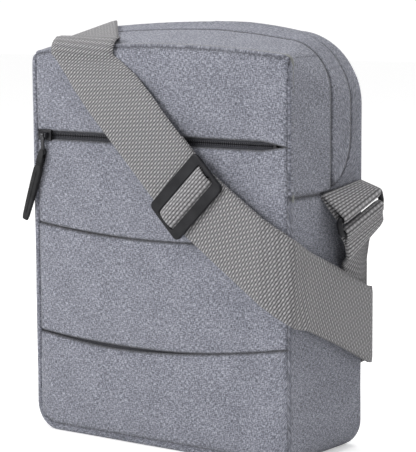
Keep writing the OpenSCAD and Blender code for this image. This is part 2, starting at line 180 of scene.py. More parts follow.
def raise_surface(tree, shader, height, distance, strength=1.0):
    node = tree.nodes.new("ShaderNodeBump")
    node.inputs["Distance"].default_value = distance
    node.inputs["Strength"].default_value = strength
    tree.links.new(height, node.inputs["Height"])
    tree.links.new(node.outputs[0], shader.inputs["Normal"])


# %% [markdown]
# The bag's cloth is a heathered plain weave: light and dark yarns mixed before spinning, so short
# streaks run both ways. Two stretched noises, one for each yarn direction, give the streaks, and
# fine waves give the threads. A painted picture would also work but would need an image.


# %% Heathered cloth, binding and lining
THREAD_PITCH = 0.0007
PAINTED_SEAM_SHADE = (0.02, 0.021, 0.028, 1.0)


def heather(name, dark, middle, light, contrast=1.0):
    finish, tree, shader = start_finish(name, 0.92, 0.25)
    vector, u, v = cloth_measures(tree)
    warp = speckle(tree, vector, (1900, 430, 1), 3.0)
    weft = speckle(tree, vector, (450, 1800, 1), 3.0)
    cloud = speckle(tree, vector, (45, 45, 1), 2.0)
    yarn = calc(tree, "MULTIPLY", calc(tree, "ADD", warp, weft), 0.5)
    centred = calc(tree, "MULTIPLY", calc(tree, "SUBTRACT", yarn, 0.5), 2.6 * contrast)
    soft = calc(tree, "MULTIPLY", calc(tree, "SUBTRACT", cloud, 0.5), 0.35)
    tone = calc(tree, "ADD", calc(tree, "ADD", centred, soft), 0.5)
    colour = ramp(tree, tone, [(0.0, dark), (0.5, middle), (1.0, light)])
    # Painted seam shade: seam_shade darkens the colour along seams, lips and folds.
    seam = tree.nodes.new("ShaderNodeAttribute")
    seam.attribute_name = "seam_shade"
    shaded = tree.nodes.new("ShaderNodeMix")
    shaded.data_type = "RGBA"
    shaded.inputs["B"].default_value = PAINTED_SEAM_SHADE
    tree.links.new(calc(tree, "MULTIPLY", seam.outputs["Fac"], 0.8), shaded.inputs["Factor"])
    tree.links.new(colour, shaded.inputs["A"])
    tree.links.new(shaded.outputs["Result"], shader.inputs["Base Color"])
    turns = 2 * math.pi / THREAD_PITCH
    across, along = (calc(tree, "SINE", calc(tree, "MULTIPLY", run, turns)) for run in (u, v))
    threads = calc(tree, "MULTIPLY", across, along)
    height = calc(tree, "ADD", calc(tree, "MULTIPLY", threads, 0.3), yarn)
    raise_surface(tree, shader, height, 0.0006, 0.8)
    return finish


cloth = heather("heathered_cloth", (0.07, 0.075, 0.10), (0.20, 0.208, 0.255), (0.50, 0.51, 0.59), 2.0)
# The side copy is the same cloth made darker: painted shade for the faces turned from the front lamp.
shaded_side_cloth = heather("heathered_cloth_painted_side_shade", (0.06, 0.065, 0.085), (0.19, 0.198, 0.245),
                     (0.46, 0.47, 0.55), 2.0)
binding_cloth = heather("binding_cloth", (0.13, 0.135, 0.13), (0.24, 0.245, 0.235),
                        (0.36, 0.365, 0.35))
# Near-black: the zip tapes' own colour, and painted shade on the pleat facings.
dark_tape_and_pleat_shade = heather("zip_tape_black_and_pleat_shade", (0.010, 0.011, 0.018), (0.018, 0.019, 0.03),
                     (0.035, 0.037, 0.055))
lining_cloth = heather("lining_cloth", (0.02, 0.02, 0.025), (0.035, 0.035, 0.042), (0.06, 0.06, 0.07))
thread_finish = heather("thread", (0.14, 0.145, 0.17), (0.22, 0.225, 0.26), (0.33, 0.335, 0.37), 0.6)
print("cloth finishes:", cloth.name, binding_cloth.name, dark_tape_and_pleat_shade.name, lining_cloth.name)

# %% [markdown]
# Webbing is woven thick: the weft cords make ribs across it, and the yarns over them go over one
# rib and under the next, so the high spots lie like a chequerboard. The same rule gives the
# height of the weave and the shade of its gaps.


# %% Webbing
def webbing_finish(name, dark, light, rib=0.0018, column=0.0021):
    finish, tree, shader = start_finish(name, 0.8, 0.2)
    vector, u, v = cloth_measures(tree)
    along = calc(tree, "DIVIDE", v, rib)
    across = calc(tree, "DIVIDE", u, column)
    cord = calc(tree, "ABSOLUTE", calc(tree, "SINE", calc(tree, "MULTIPLY", along, math.pi)))
    yarn = calc(tree, "ABSOLUTE", calc(tree, "SINE", calc(tree, "MULTIPLY", across, math.pi)))
    cell = calc(tree, "ADD", calc(tree, "FLOOR", along), calc(tree, "FLOOR", across))
    over = calc(tree, "ABSOLUTE", calc(tree, "SINE", calc(tree, "MULTIPLY", cell, math.pi / 2)))
    dot = calc(tree, "MULTIPLY", over, yarn)
    weave = calc(tree, "MULTIPLY", cord, calc(tree, "ADD", calc(tree, "MULTIPLY", dot, 0.45), 0.55))
    fuzz = speckle(tree, vector, (900, 900, 1), 3.0)
    grain = calc(tree, "MULTIPLY", calc(tree, "SUBTRACT", fuzz, 0.4), 0.5)
    tone = calc(tree, "ADD", calc(tree, "MULTIPLY", weave, 0.85), grain)
    tree.links.new(ramp(tree, tone, [(0.05, dark), (0.9, light)]), shader.inputs["Base Color"])
    raise_surface(tree, shader, weave, 0.0008, 1.0)
    return finish


webbing = webbing_finish("webbing", (0.010, 0.010, 0.011), (0.47, 0.46, 0.475))
print("webbing finish:", webbing.name)

# %% [markdown]
# The hard parts are black: moulded plastic with a faint grain, rubber, painted metal that is
# rubbed lighter here and there, foam and board. They read the place on the object itself.


# %% Hard finishes
def hard_finish(name, colour, worn, roughness, grain, metal=0.0):
    finish, tree, shader = start_finish(name, roughness)
    shader.inputs["Metallic"].default_value = metal
    shader.inputs["Specular IOR Level"].default_value = 0.22
    where = tree.nodes.new("ShaderNodeTexCoord").outputs["Object"]
    fine = speckle(tree, where, (grain, grain, grain), 3.0)
    broad = speckle(tree, where, (90, 90, 90), 2.0)
    tree.links.new(ramp(tree, broad, [(0.35, colour), (0.75, worn)]), shader.inputs["Base Color"])
    uneven = calc(tree, "ADD", calc(tree, "MULTIPLY", fine, 0.25), roughness - 0.12)
    tree.links.new(uneven, shader.inputs["Roughness"])
    raise_surface(tree, shader, fine, 0.0001, 0.35)
    return finish


buckle_plastic = hard_finish("buckle_plastic", (0.010, 0.010, 0.012), (0.022, 0.022, 0.025), 0.38, 2600)
pull_rubber = hard_finish("pull_rubber", (0.012, 0.012, 0.013), (0.03, 0.03, 0.032), 0.55, 1800)
black_metal = hard_finish("black_metal", (0.02, 0.02, 0.022), (0.09, 0.09, 0.095), 0.35, 1200, 0.7)
coil_nylon = hard_finish("coil_nylon", (0.012, 0.012, 0.016), (0.03, 0.03, 0.035), 0.45, 2000)
foam_sheet = hard_finish("foam_sheet", (0.62, 0.62, 0.58), (0.72, 0.72, 0.68), 0.9, 900)
board_sheet = hard_finish("board_sheet", (0.03, 0.03, 0.032), (0.05, 0.05, 0.05), 0.6, 700)
print("hard finishes:", buckle_plastic.name, pull_rubber.name, black_metal.name)

# %% [markdown]
# Every mesh goes through one small function: it takes points in millimetres, makes the object,
# puts the finish on it, hangs it on the part of the bag it moves with, and hides the plain solid
# it stands for.


# %% Helpers for meshes
def make_piece(name, points, faces, finish, body, nodes=(), uv=None, closed=False):
    mesh = bpy.data.meshes.new(name)
    mesh.from_pydata([tuple(p) for p in np.asarray(points) * MM], [], [tuple(f) for f in faces])
    mesh.validate()
    if uv is not None:
        layer = mesh.uv_layers.new(name="cut")
        corner = np.empty(len(mesh.loops), dtype=np.int32)
        mesh.loops.foreach_get("vertex_index", corner)
        layer.data.foreach_set("uv", (np.asarray(uv)[corner] * MM).astype(np.float32).ravel())
    if closed:
        solid = bmesh.new()
        solid.from_mesh(mesh)
        bmesh.ops.recalc_face_normals(solid, faces=solid.faces)
        solid.to_mesh(mesh)
        solid.free()
    mesh.polygons.foreach_set("use_smooth", [True] * len(mesh.polygons))
    piece = bpy.data.objects.new(name, mesh)
    bpy.context.collection.objects.link(piece)
    mesh.materials.append(finish)
    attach(piece, body)
    if nodes:
        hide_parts(*nodes)
    return piece


def grid_faces(rows, columns):
    k = np.arange(rows * columns).reshape(rows, columns)
    return np.stack([k[:-1, :-1], k[:-1, 1:], k[1:, 1:], k[1:, :-1]], axis=-1).reshape(-1, 4)


def run_length(points, axis):
    step = np.linalg.norm(np.diff(points, axis=axis), axis=2)
    pad = [(0, 0), (0, 0)]
    pad[axis] = (1, 0)
    return np.cumsum(np.pad(step, pad), axis=axis)


def noise_at(points, size, seed):
    shape = points.shape[:-1]
    flat = points.reshape(-1, 3) / size + seed
    return np.array([noise.noise(Vector(p)) for p in flat]).reshape(shape)


# %% [markdown]
# A cloth panel is a grid laid over the bag's outline. It is then lifted along its own normals:
# up in the middle like a thin pillow, down into the seams at its edges, with small gathers where
# the sewing pulls, and slow waves all over. Modelling each panel by hand would give the same,
# but a rule keeps neighbouring panels meeting exactly in their seams.


# %% Helpers for cloth
# SEWN edges are sewn flat: they get painted seam shade but no roll.
SEWN = "sewn"
CLOTH_T = 1.1


def roll_under(distance, radius, depth):
    x = np.clip(1 - distance / radius, 0, 1)
    return -depth * (1 - np.sqrt(1 - x * x))


def pillow(u, v, height, power=3):
    return height * (1 - np.abs(2 * u - 1) ** power) * (1 - np.abs(2 * v - 1) ** power)


def gathers(along, distance, pitch, amount, reach, seed):
    phase = np.interp(along, np.linspace(-400, 800, 241),
                      [2.2 * noise.noise(Vector((k * 0.37, seed, 0.0))) for k in range(241)])
    return amount * np.exp(-distance / reach) * np.sin(2 * math.pi * along / pitch + 2.5 * phase)


def lay_cloth(name, rows, finish, nodes, edges, height=0.0, wave=0.6, outward=None,
              seed=1.0, extra=None):
    """Lays a grid of points as cloth. Its edges are low u, high u, low v and high v, and each is
    a (radius, depth), SEWN or None."""
    grid = np.asarray(rows, dtype=float)
    normal = np.cross(np.gradient(grid, axis=1), np.gradient(grid, axis=0))
    normal /= np.maximum(np.linalg.norm(normal, axis=2, keepdims=True), 1e-9)
    middle = normal[grid.shape[0] // 2, grid.shape[1] // 2]
    flipped = np.dot(middle, outward) < 0
    if flipped:
        normal = -normal
    across, along = run_length(grid, 1), run_length(grid, 0)
    width, length = across[:, -1:], along[-1:, :]
    lift = pillow(across / width, along / length, height)
    distances = (across, width - across, along, length - along)
    runs = (along, along, across, across)
    near = np.minimum.reduce(distances)
    lift = lift + wave * noise_at(grid, 42.0, seed) * np.clip(near / 12, 0, 1)
    lift = lift + 0.3 * wave * noise_at(grid, 15.0, seed + 9) * np.clip(near / 6, 0, 1)
    # Painted seam shade: a dark band along each edge, kept as seam_shade for the cloth's colour.
    shade = np.zeros_like(near)
    for distance, run, edge in zip(distances, runs, edges):
        if edge:
            dark_to = 1.9 if edge == SEWN else 0.6 * edge[0]
            shade = np.maximum(shade, np.exp(-(distance / dark_to) ** 2))
        if edge and edge != SEWN:
            lift = lift + roll_under(distance, *edge)
            lift = lift + gathers(run, distance, 11.0, 0.07 * edge[1], 7.0, seed)
    if extra is not None:
        lift = lift + extra(grid, across, along)
    grid = grid + normal * lift[..., None]
    grid[..., 2] = np.maximum(grid[..., 2], CLOTH_T)
    faces = grid_faces(*grid.shape[:2])
    if not flipped:
        faces = faces[:, ::-1]
    uv = np.stack([across, along], axis=-1).reshape(-1, 2)
    piece = make_piece(name, grid.reshape(-1, 3), faces, finish, "root", nodes, uv)
    thick = piece.modifiers.new("thickness", "SOLIDIFY")
    thick.thickness = CLOTH_T * MM
    thick.offset = -1
    seam_shade = piece.data.attributes.new("seam_shade", "FLOAT", "POINT")
    seam_shade.data.foreach_set("value", shade.ravel())
    return piece


# %% [markdown]
# The outline of the body changes with depth: nearly square at the front seam, taller and rounder
# at the main zip. Every cloth panel, binding and stitch line reads the same rule.

# %% The body's outline
FRONT_TOP, BACK_TOP = 257.0, 271.0
BACK_CORNER, PULLED_CORNER, BASE_CORNER = 45.0, 16.0, 18.0
FRONT_SEAM, ZIP_PLANE = -half_d + 2.5, 25.0
SEAM_INSET = 4.4
HOOD_SAG = 0.045
GUSSET_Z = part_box("right_side_panel")[1][2] / MM


def corner(cx, cz, radius, start, end, count):
    q = np.radians(np.linspace(start, end, count))
    return np.stack([cx + radius * np.cos(q), cz + radius * np.sin(q)], axis=1)


def body_shape(y, inset):
    """Half width, top, top right corner, top left corner, bottom corners and crown."""
    u = min(max((y - FRONT_SEAM) / (ZIP_PLANE - FRONT_SEAM), 0), 1)
    top = FRONT_TOP + (BACK_TOP - FRONT_TOP) * u - inset
    right, left = (max(2.5, 8 + (radius - 8) * u - inset) for radius in (BACK_CORNER, PULLED_CORNER))
    return half_w - inset, top, right, left, max(2.5, BASE_CORNER - inset), 5 - u


def crown_run(w, top, right, left, crown, count):
    x = np.linspace(w - right, left - w, count)
    share = np.where(x > 0, x / (w - right), x / (w - left))
    return np.stack([x, top + crown * (1 - share ** 2)], axis=1)


def upright_run(x, low, high, count):
    return np.stack([np.full(count, x), np.linspace(low, high, count)], axis=1)


def join_runs(*runs):
    return np.concatenate([runs[0]] + [r[1:] for r in runs[1:]])


def ease(points, share):
    """Moves the front seam out to the very edge on the right and at the top."""
    x, z = points[..., 0], points[..., -1]
    moved = points.copy()
    moved[..., 0] += 3.7 * share * np.clip((x - 40) / 60, 0, 1) ** 2
    moved[..., -1] += 4.0 * share * np.clip((z - 205) / 50, 0, 1) ** 2
    return moved


def hood_run(y, inset, first, last):
    """The outline over the top, from the right gusset seam to the left one, or the parts of it
    from first to last."""
    w, top, rt, lt, rb, crown = body_shape(y, inset)
    runs = {"right": join_runs(upright_run(w, GUSSET_Z, top - rt, 26),
                               corner(w - rt, top - rt, rt, 0, 45, 9)),
            "top": join_runs(corner(w - rt, top - rt, rt, 45, 90, 9),
                             crown_run(w, top, rt, lt, crown, 61),
                             corner(-w + lt, top - lt, lt, 90, 135, 9)),
            "left": join_runs(corner(-w + lt, top - lt, lt, 135, 180, 9),
                              upright_run(-w, top - lt, GUSSET_Z, 26))}
    names = ["right", "top", "left"]
    run = join_runs(*[runs[n] for n in names[names.index(first):names.index(last) + 1]])
    back = np.clip((y - FRONT_SEAM) / (ZIP_PLANE - FRONT_SEAM), 0, 1)
    to_right = np.clip(run[:, 0] - 20, 0, 80)
    to_top = np.clip((run[:, 1] - 200) / 50, 0, 1)
    run[:, 1] -= HOOD_SAG * back * to_right * to_top
    return ease(run, inset / SEAM_INSET) if y < 0 else run


def lower_run(y, inset):
    w, top, rt, lt, rb, crown = body_shape(y, inset)
    bottom = np.stack([np.linspace(-w + rb, w - rb, 61), np.full(61, float(inset))], axis=1)
    run = join_runs(upright_run(-w, GUSSET_Z, inset + rb, 46), corner(-w + rb, inset + rb, rb, 180, 270, 11),
                    bottom, corner(w - rb, inset + rb, rb, -90, 0, 11), upright_run(w, inset + rb, GUSSET_Z, 46))
    return ease(run, inset / SEAM_INSET) if y < 0 else run


def at_depth(run, y):
    return np.stack([run[:, 0], np.full(len(run), float(y)), run[:, 1]], axis=1)


# %% [markdown]
# Seen from the side, the gusset cloth doesn't stop at a sharp edge: it rounds over onto the front
# and dips into the seam there. The list below is that section, as depth and inset, front first.

# %% Section of the gusset at the front and back
ROUND = 3.8
curve = np.radians(np.linspace(0, 90, 8))
front_section = [(-half_d + 1.9, SEAM_INSET), (-half_d + 0.7, SEAM_INSET - 0.35)]
front_section += [(-half_d + ROUND * (1 - math.cos(q)), ROUND * (1 - math.sin(q))) for q in curve]
back_section = [(-y, inset) for y, inset in reversed(front_section)]


def depths(start, end, step=3.2):
    count = max(3, int(round((end - start) / step)) + 1)
    return [(y, 0.0) for y in np.linspace(start, end, count)]


body_section = depths(-half_d + ROUND + 2, half_d - ROUND - 2)
print("gusset section", len(front_section) + len(body_section) + len(back_section), "points deep")

# %% [markdown]
# The lower gusset is one long strip: down the left side, under the bag and up the right side. It
# is slightly slack between its seams, so it gets low waves and a shallow hollow on each side.


# %% Lower gusset
def hollow_sides(grid, across, along):
    deep = np.exp(-((grid[..., 1] - 6) / 22) ** 2) * np.exp(-((grid[..., 2] - 118) / 42) ** 2)
    return -1.6 * deep * (np.abs(grid[..., 0]) > half_w - 12)


gusset_section = front_section + body_section + back_section
rows = [at_depth(lower_run(y, inset), y) for y, inset in gusset_section]
SOFT_SEAM, FLAT_SEAM = (3.0, 1.4), (2.2, 0.7)
lower_gusset = lay_cloth("lower_gusset", rows, shaded_side_cloth,
                         ["left_side_panel", "right_side_panel", "base_panel"],
                         (SOFT_SEAM, SOFT_SEAM, SEWN, SEWN), height=0.0, wave=0.5, outward=(0, 0, -1),
                         seed=3.0, extra=hollow_sides)
print("lower gusset:", len(lower_gusset.data.vertices), "points")

# %% [markdown]
# The top strip is sewn from three pieces, with a mitre seam at each front corner. The mitre only
# bites near the front and fades backward, so its depth falls off with the distance from the front.

# %% Top strips
STITCH_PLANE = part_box("right_top_strip")[1][1] / MM


def strip_rows(part):
    section = front_section + depths(-half_d + ROUND + 2, STITCH_PLANE)
    return [at_depth(hood_run(y, inset, part, part), y) for y, inset in section]


def mitre(low_end, high_end):
    def dip(grid, across, along):
        fade = np.clip(1 - (grid[..., 1] + half_d) / 17, 0, 1)
        total = 0
        if low_end:
            total = total + roll_under(across, 2.4, 1.5) * fade
        if high_end:
            total = total + roll_under(across[:, -1:] - across, 2.4, 1.5) * fade
        return total
    return dip


strips = {}
for part, node, ends, edges, outward in (
        ("right", "right_top_strip", (False, True), (SOFT_SEAM, None, SEWN, FLAT_SEAM), (1, 0, 0)),
        ("top", "top_strip", (True, True), (None, None, SEWN, FLAT_SEAM), (0, 0, 1)),
        ("left", "left_top_strip", (True, False), (None, SOFT_SEAM, SEWN, FLAT_SEAM), (-1, 0, 0))):
    strips[part] = lay_cloth(node + "_cloth", strip_rows(part), cloth if part == "top" else shaded_side_cloth,
                             [node], edges, wave=0.5, outward=outward, seed=5.0,
                             extra=mitre(*ends))
print("top strips:", {k: len(o.data.vertices) for k, o in strips.items()})

# %% [markdown]
# Behind the stitched line lies a flap that hides the main zip. Its free edge is folded, stands a
# little proud and hooks forward at the foot of the right side, where the zip runs out. The back
# strip starts under that edge. Both are grids whose depth range changes along the seam.

# %% Flap over the main zip, and the back strip
FLAP_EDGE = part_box("zip_flap")[1][1] / MM


def zip_line(points):
    """Depth of the flap's free edge at each point of the outline."""
    hook = np.interp(points[:, 1], [170, 174, 179, 186, 196, 208], [-8, 5, 13, 19.5, 24, 25.2])
    right = np.clip(points[:, 0] - 90, 0, 10) / 10
    return np.where(points[:, 0] > 0, hook * right + 25.2 * (1 - right), FLAP_EDGE + 0.4)


def between_depths(share, first, second):
    """A row of the hood between two depths that change along it, share of the way."""
    guide = hood_run(ZIP_PLANE, 0, "right", "left")
    start = np.broadcast_to(first(guide), len(guide))
    end = np.broadcast_to(second(guide), len(guide))
    y = start + (end - start) * share
    points = [at_depth(hood_run(depth, 0, "right", "left"), depth)[k] for k, depth in enumerate(y)]
    return np.array(points)


shares = np.linspace(0, 1, 9)
flap_rows = [between_depths(s, lambda g: STITCH_PLANE, zip_line) for s in shares]


def proud_edge(grid, across, along):
    return 1.3 * np.clip(1 - (along[-1:, :] - along) / 14, 0, 1) ** 1.5


zip_flap = lay_cloth("zip_flap_cloth", flap_rows, shaded_side_cloth, ["zip_flap"],
                     (SOFT_SEAM, SOFT_SEAM, FLAT_SEAM, (1.2, 0.9)), wave=0.4, outward=(0, 0, 1),
                     seed=7.0, extra=proud_edge)
back_rows = [between_depths(s, lambda g: zip_line(g) + np.where(g[:, 0] > 0, 1.7, 3.4),
                            lambda g: half_d - ROUND - 1) for s in shares]
back_rows += [at_depth(hood_run(y, inset, "right", "left"), y) for y, inset in back_section]
back_strip = lay_cloth("back_strip_cloth", back_rows, shaded_side_cloth, ["back_strip"],
                       (SOFT_SEAM, SOFT_SEAM, (1.2, 0.9), None), wave=0.3, outward=(0, 0, 1), seed=8.0)
print("flap and back strip:", len(zip_flap.data.vertices), len(back_strip.data.vertices))

# %% [markdown]
# The front is four panels, one above the other. Each fills the outline inside the front seam
# between two curves of height: the zip's slot and the two pleats. They puff gently, and the lips
# of the slot and the pleats are folds, so their edges roll inward.

# %% Front panels
ZIP_Z, ZIP_GAP = 201.3, 4.5
zip_open_to = 83.0


def upper_pleat(x):
    return 136 + x / 100 + 7 * (x / 100) ** 2


def lower_pleat(x):
    return 63.5 + 4 * x / 100 + 8.5 * (x / 100) ** 2


def slot_half(x):
    return 0.75 * ZIP_GAP * np.clip((101 - x) / (101 - zip_open_to), 0.05, 1)


def pleat_half(x, wide, narrow, middle, reach):
    return narrow + (wide - narrow) * np.exp(-((x - middle) / reach) ** 2)


def panel_floor(x):
    w, rb = half_w - SEAM_INSET, BASE_CORNER - SEAM_INSET
    into = np.clip(np.abs(x) - (w - rb), 0, rb)
    return SEAM_INSET + rb - np.sqrt(rb * rb - into * into)


def ceiling(x, y):
    w, top, right, left, rb, crown = body_shape(y, SEAM_INSET)
    r = np.where(x > 0, right, left)
    into = np.clip(np.abs(x) - (w - r), 0, r)
    arch = crown * (1 - np.clip(np.abs(x) / (w - r), 0, 1) ** 2)
    return top - r + np.sqrt(r * r - into * into) + arch


def panel_rows(low, high, count):
    w = half_w - SEAM_INSET
    x = w * np.sin(np.linspace(-math.pi / 2, math.pi / 2, 91) * 0.995) / math.sin(math.pi / 2 * 0.995)
    x = 0.35 * x + 0.65 * np.linspace(-w, w, 91)
    start, end = low(x), high(x)
    share = np.linspace(0, 1, count)
    share = 0.75 * share + 0.25 * (1 - np.cos(math.pi * share)) / 2
    return [np.stack([x, np.full_like(x, -half_d), start + (end - start) * s], axis=1) for s in share]


def front_rows(low, high, count):
    return [ease(row, 1.0) for row in panel_rows(low, high, count)]


def upper_gap(x):
    return pleat_half(x, 0.9, 0.5, -60, 60)


def lower_gap(x):
    return pleat_half(x, 1.8, 0.6, -38, 55)


SEAM_EDGE, LIP_EDGE = (3.2, 1.9), (1.5, 1.4)
panels = {}
for name, low, high, low_seam, high_seam, puff, count in (
        ("front_top_panel", lambda x: ZIP_Z + slot_half(x), lambda x: ceiling(x, -half_d),
         LIP_EDGE, SEAM_EDGE, 2.2, 30),
        ("front_pocket_panel", lambda x: upper_pleat(x) + upper_gap(x),
         lambda x: ZIP_Z - slot_half(x), LIP_EDGE, LIP_EDGE, 1.0, 34),
        ("front_middle_panel", lambda x: lower_pleat(x) + lower_gap(x),
         lambda x: upper_pleat(x) - upper_gap(x), LIP_EDGE, LIP_EDGE, 2.4, 38),
        ("front_lower_panel", panel_floor, lambda x: lower_pleat(x) - lower_gap(x),
         SEAM_EDGE, LIP_EDGE, 2.6, 34)):
    rows = front_rows(low, high, count)
    panels[name] = lay_cloth(name + "_cloth", rows, cloth, [name],
                             (SEAM_EDGE, SEAM_EDGE, low_seam, high_seam), height=puff, wave=0.55,
                             outward=(0, -1, 0), seed=11.0 + len(panels))
print("front panels:", {k: len(o.data.vertices) for k, o in panels.items()})

# %% [markdown]
# The back panel is plain: one padded piece inside the back seam, with a slow swell. Its grid is
# made by the rule of the front panels, and moved to the back.


# %% Back panel
to_back = np.array([0, 2 * half_d, 0])
back_grid = [row + to_back for row in panel_rows(panel_floor, lambda x: ceiling(x, half_d), 70)]
back_panel = lay_cloth("back_panel_cloth", back_grid, shaded_side_cloth, ["back_panel"],
                       (SEAM_EDGE, SEAM_EDGE, SEAM_EDGE, SEAM_EDGE), height=1.0, wave=0.7,
                       outward=(0, 1, 0), seed=21.0)
print("back panel:", len(back_panel.data.vertices))


# %% [markdown]
# Binding tape closes the raw edges. At the front it lies deep in the seam and shows as a thin
# dark line; at the back it stands out as a round cord. Both are tubes run along the outline.


# %% Bindings
def whole_outline(y, inset):
    return join_runs(lower_run(y, inset), hood_run(y, inset, "right", "left")[1:])


def binding_tube(name, path, radius, node, sides=8):
    """Binding runs right round the bag, so its last ring joins the first."""
    path = np.asarray(path, dtype=float)
    if np.linalg.norm(path[0] - path[-1]) < 0.5:
        path = path[:-1]
    count = len(path)
    ahead = np.roll(path, -1, axis=0) - np.roll(path, 1, axis=0)
    ahead /= np.linalg.norm(ahead, axis=1, keepdims=True)
    side = np.cross(ahead, (0.05, 1.0, 0.02))
    side /= np.linalg.norm(side, axis=1, keepdims=True)
    up = np.cross(side, ahead)
    q = np.linspace(0, 2 * math.pi, sides, endpoint=False)
    ring = side[:, None] * np.cos(q)[None, :, None] + up[:, None] * np.sin(q)[None, :, None]
    points = path[:, None] + radius * ring
    k = np.arange(count * sides).reshape(count, sides)
    faces = []
    for here, after in zip(k, np.roll(k, -1, axis=0)):
        for j in range(sides):
            m = (j + 1) % sides
            faces.append((here[j], here[m], after[m], after[j]))
    run = np.linalg.norm(np.diff(path, axis=0, prepend=path[:1]), axis=1).cumsum()
    uv = np.stack([np.broadcast_to(q * radius, (count, sides)),
                   np.broadcast_to(run[:, None], (count, sides))], axis=-1)
    return make_piece(name, points.reshape(-1, 3), faces, binding_cloth, "root",
                      [node], uv.reshape(-1, 2))


front_path = at_depth(whole_outline(-half_d, SEAM_INSET), -half_d + 2.9)
front_binding = binding_tube("front_binding_tape", front_path, 1.7, "front_binding")
back_path = at_depth(whole_outline(half_d, SEAM_INSET - 2.2), half_d - 0.9)
back_binding = binding_tube("back_binding_cord", back_path, 1.5, "back_binding")
print("bindings:", len(front_binding.data.vertices), len(back_binding.data.vertices))

# %% [markdown]
# The strap is cut flat and laid on the bag. Its route is a list of lines across the webbing, in
# the flat measures of the front face, and rules that wrap those measures over the top edge and
# round the side. A flat strip wrapped like this can't stretch, just as webbing can't.

# %% Wrapping rules
EDGE_Z, TURN, TOP_TURN, TOP_RISE, ARCH = 262.0, 1.0, 6.5, 12.0, 4.2
LEFT_X, LEFT_R, LEFT_TURN = 84.0, 20.0, 78.0
ADJUST_A, ADJUST_B = 32.0, 169.5
UPPER, LOWER, SIDE_FALL, CLIMB = (math.radians(v) for v in (45.6, 34.9, 25.0, 48.0))
WEB_W, WEB_T = 45.0, 1.4
QUARTER = TURN * math.pi / 2
SIDE_FROM = half_w - TURN + QUARTER
SIDE_TO = SIDE_FROM + 2 * half_d - 2 * TURN
BACK_FROM = SIDE_TO + QUARTER


def round_side(a, b, h):
    x, y, r = half_w - TURN, half_d - TURN, TURN + h
    if a < x:
        return a, -half_d - h, b
    if a < SIDE_FROM:
        q = (a - x) / TURN
        return x + r * math.sin(q), -y - r * math.cos(q), b
    if a < SIDE_TO:
        return half_w + h, a - SIDE_FROM - y, b
    if a < BACK_FROM:
        q = (a - SIDE_TO) / TURN
        return x + r * math.cos(q), y + r * math.sin(q), b
    return x - (a - BACK_FROM), half_d + h, b


def over_top(a, b, h):
    h += ARCH * math.exp(-((b - EDGE_Z) / 9) ** 2)
    d = b - EDGE_Z + TOP_TURN
    q = min(max(d / TOP_TURN, 0.0), math.radians(90 - TOP_RISE))
    e, r = d - TOP_TURN * q, TOP_TURN + h
    return (a, TOP_TURN - half_d - r * math.cos(q) + e * math.sin(q),
            EDGE_Z - TOP_TURN + r * math.sin(q) + e * math.cos(q))


def round_left(a, b, h):
    d = -a - LEFT_X
    if d <= 0:
        return over_top(a, b, h)
    q = min(d / LEFT_R, math.radians(LEFT_TURN))
    e, r = d - LEFT_R * q, LEFT_R + h
    return over_top(-LEFT_X - r * math.sin(q) - e * math.cos(q), b, -LEFT_R + r * math.cos(q) - e * math.sin(q))


print("flat width of the front and side:", round(BACK_FROM + half_w, 1), "mm")

# %% [markdown]
# Each line across the webbing is its two ends and its height off the bag. Lines that lie along a
# fold keep the fold crisp. More lines are filled in between them, and the heights are smoothed.


# %% Lines across the strap
CORNER_EASE = 1.6


def upper_a(b):
    return ADJUST_A - (b - ADJUST_B) / math.tan(UPPER)


def upper_b(a):
    return ADJUST_B - (a - ADJUST_A) * math.tan(UPPER)


def lower_b(a):
    return ADJUST_B - (a - ADJUST_A) * math.tan(LOWER) + CORNER_EASE * min(max((a - 52) / 52, 0), 1) ** 2


def side_b(a):
    start = ADJUST_B - (half_w - ADJUST_A) * math.tan(LOWER)
    fade = min(max(1 - (a - SIDE_FROM) / 60, 0), 1) ** 2
    return start - (a - half_w) * math.tan(SIDE_FALL) - CORNER_EASE * fade


def return_b(a):
    return 91 - (a - BACK_FROM) * math.tan(CLIMB)


def low_edge(a):
    return EDGE_Z + 1 + 1.05 * (-LEFT_X - a)


def high_edge(a):
    return EDGE_Z + 1.2 * (TOP_RIGHT - max(a, -LEFT_X)) + 1.05 * max(0, -LEFT_X - a)


def level(b, h):
    s = WEB_W / 2 / math.sin(UPPER)
    return (upper_a(b) - s, b), (upper_a(b) + s, b), h, UPPER


def upright(a, b, angle, h):
    s = WEB_W / 2 / math.cos(angle)
    return (a, b - s), (a, b + s), h, angle


def square_on(a, b, angle, h):
    s = WEB_W / 2
    across = (math.sin(angle), math.cos(angle))
    return (a - s * across[0], b - s * across[1]), (a + s * across[0], b + s * across[1]), h, angle


H_TOP, H_EDGE, H_FRONT, H_BACK, H_RETURN = 0.5, 3.4, 8.0, 6.4, 1.0
TOP_RIGHT = -30.7
top_arc = TOP_TURN * math.radians(90 - TOP_RISE)
left_arc = LEFT_R * math.radians(LEFT_TURN)
FAN, FOLD = math.radians(48), math.radians(53)
over_lines = []
for i in range(6, -1, -1):
    a = -LEFT_X - left_arc * i / 6
    over_lines.append(((a, low_edge(a)), (a, high_edge(a)), H_TOP, FAN))
over_lines.append(((-LEFT_X, EDGE_Z + 0.8), (-66, high_edge(-66)), H_TOP, FAN))
over_lines.append(((-LEFT_X + 0.2, EDGE_Z + 0.6), (-48, high_edge(-48)), H_TOP, FAN))
for i in range(4, -1, -1):
    b = EDGE_Z - TOP_TURN + top_arc * i / 4
    over_lines.append(((-LEFT_X + 0.4, b), (TOP_RIGHT, b), H_TOP, FOLD))
over_lines += [((-71.5, 244), (-12, 244), 4.5, (FOLD + UPPER) / 2), level(232, 6.6), level(218, H_FRONT)]
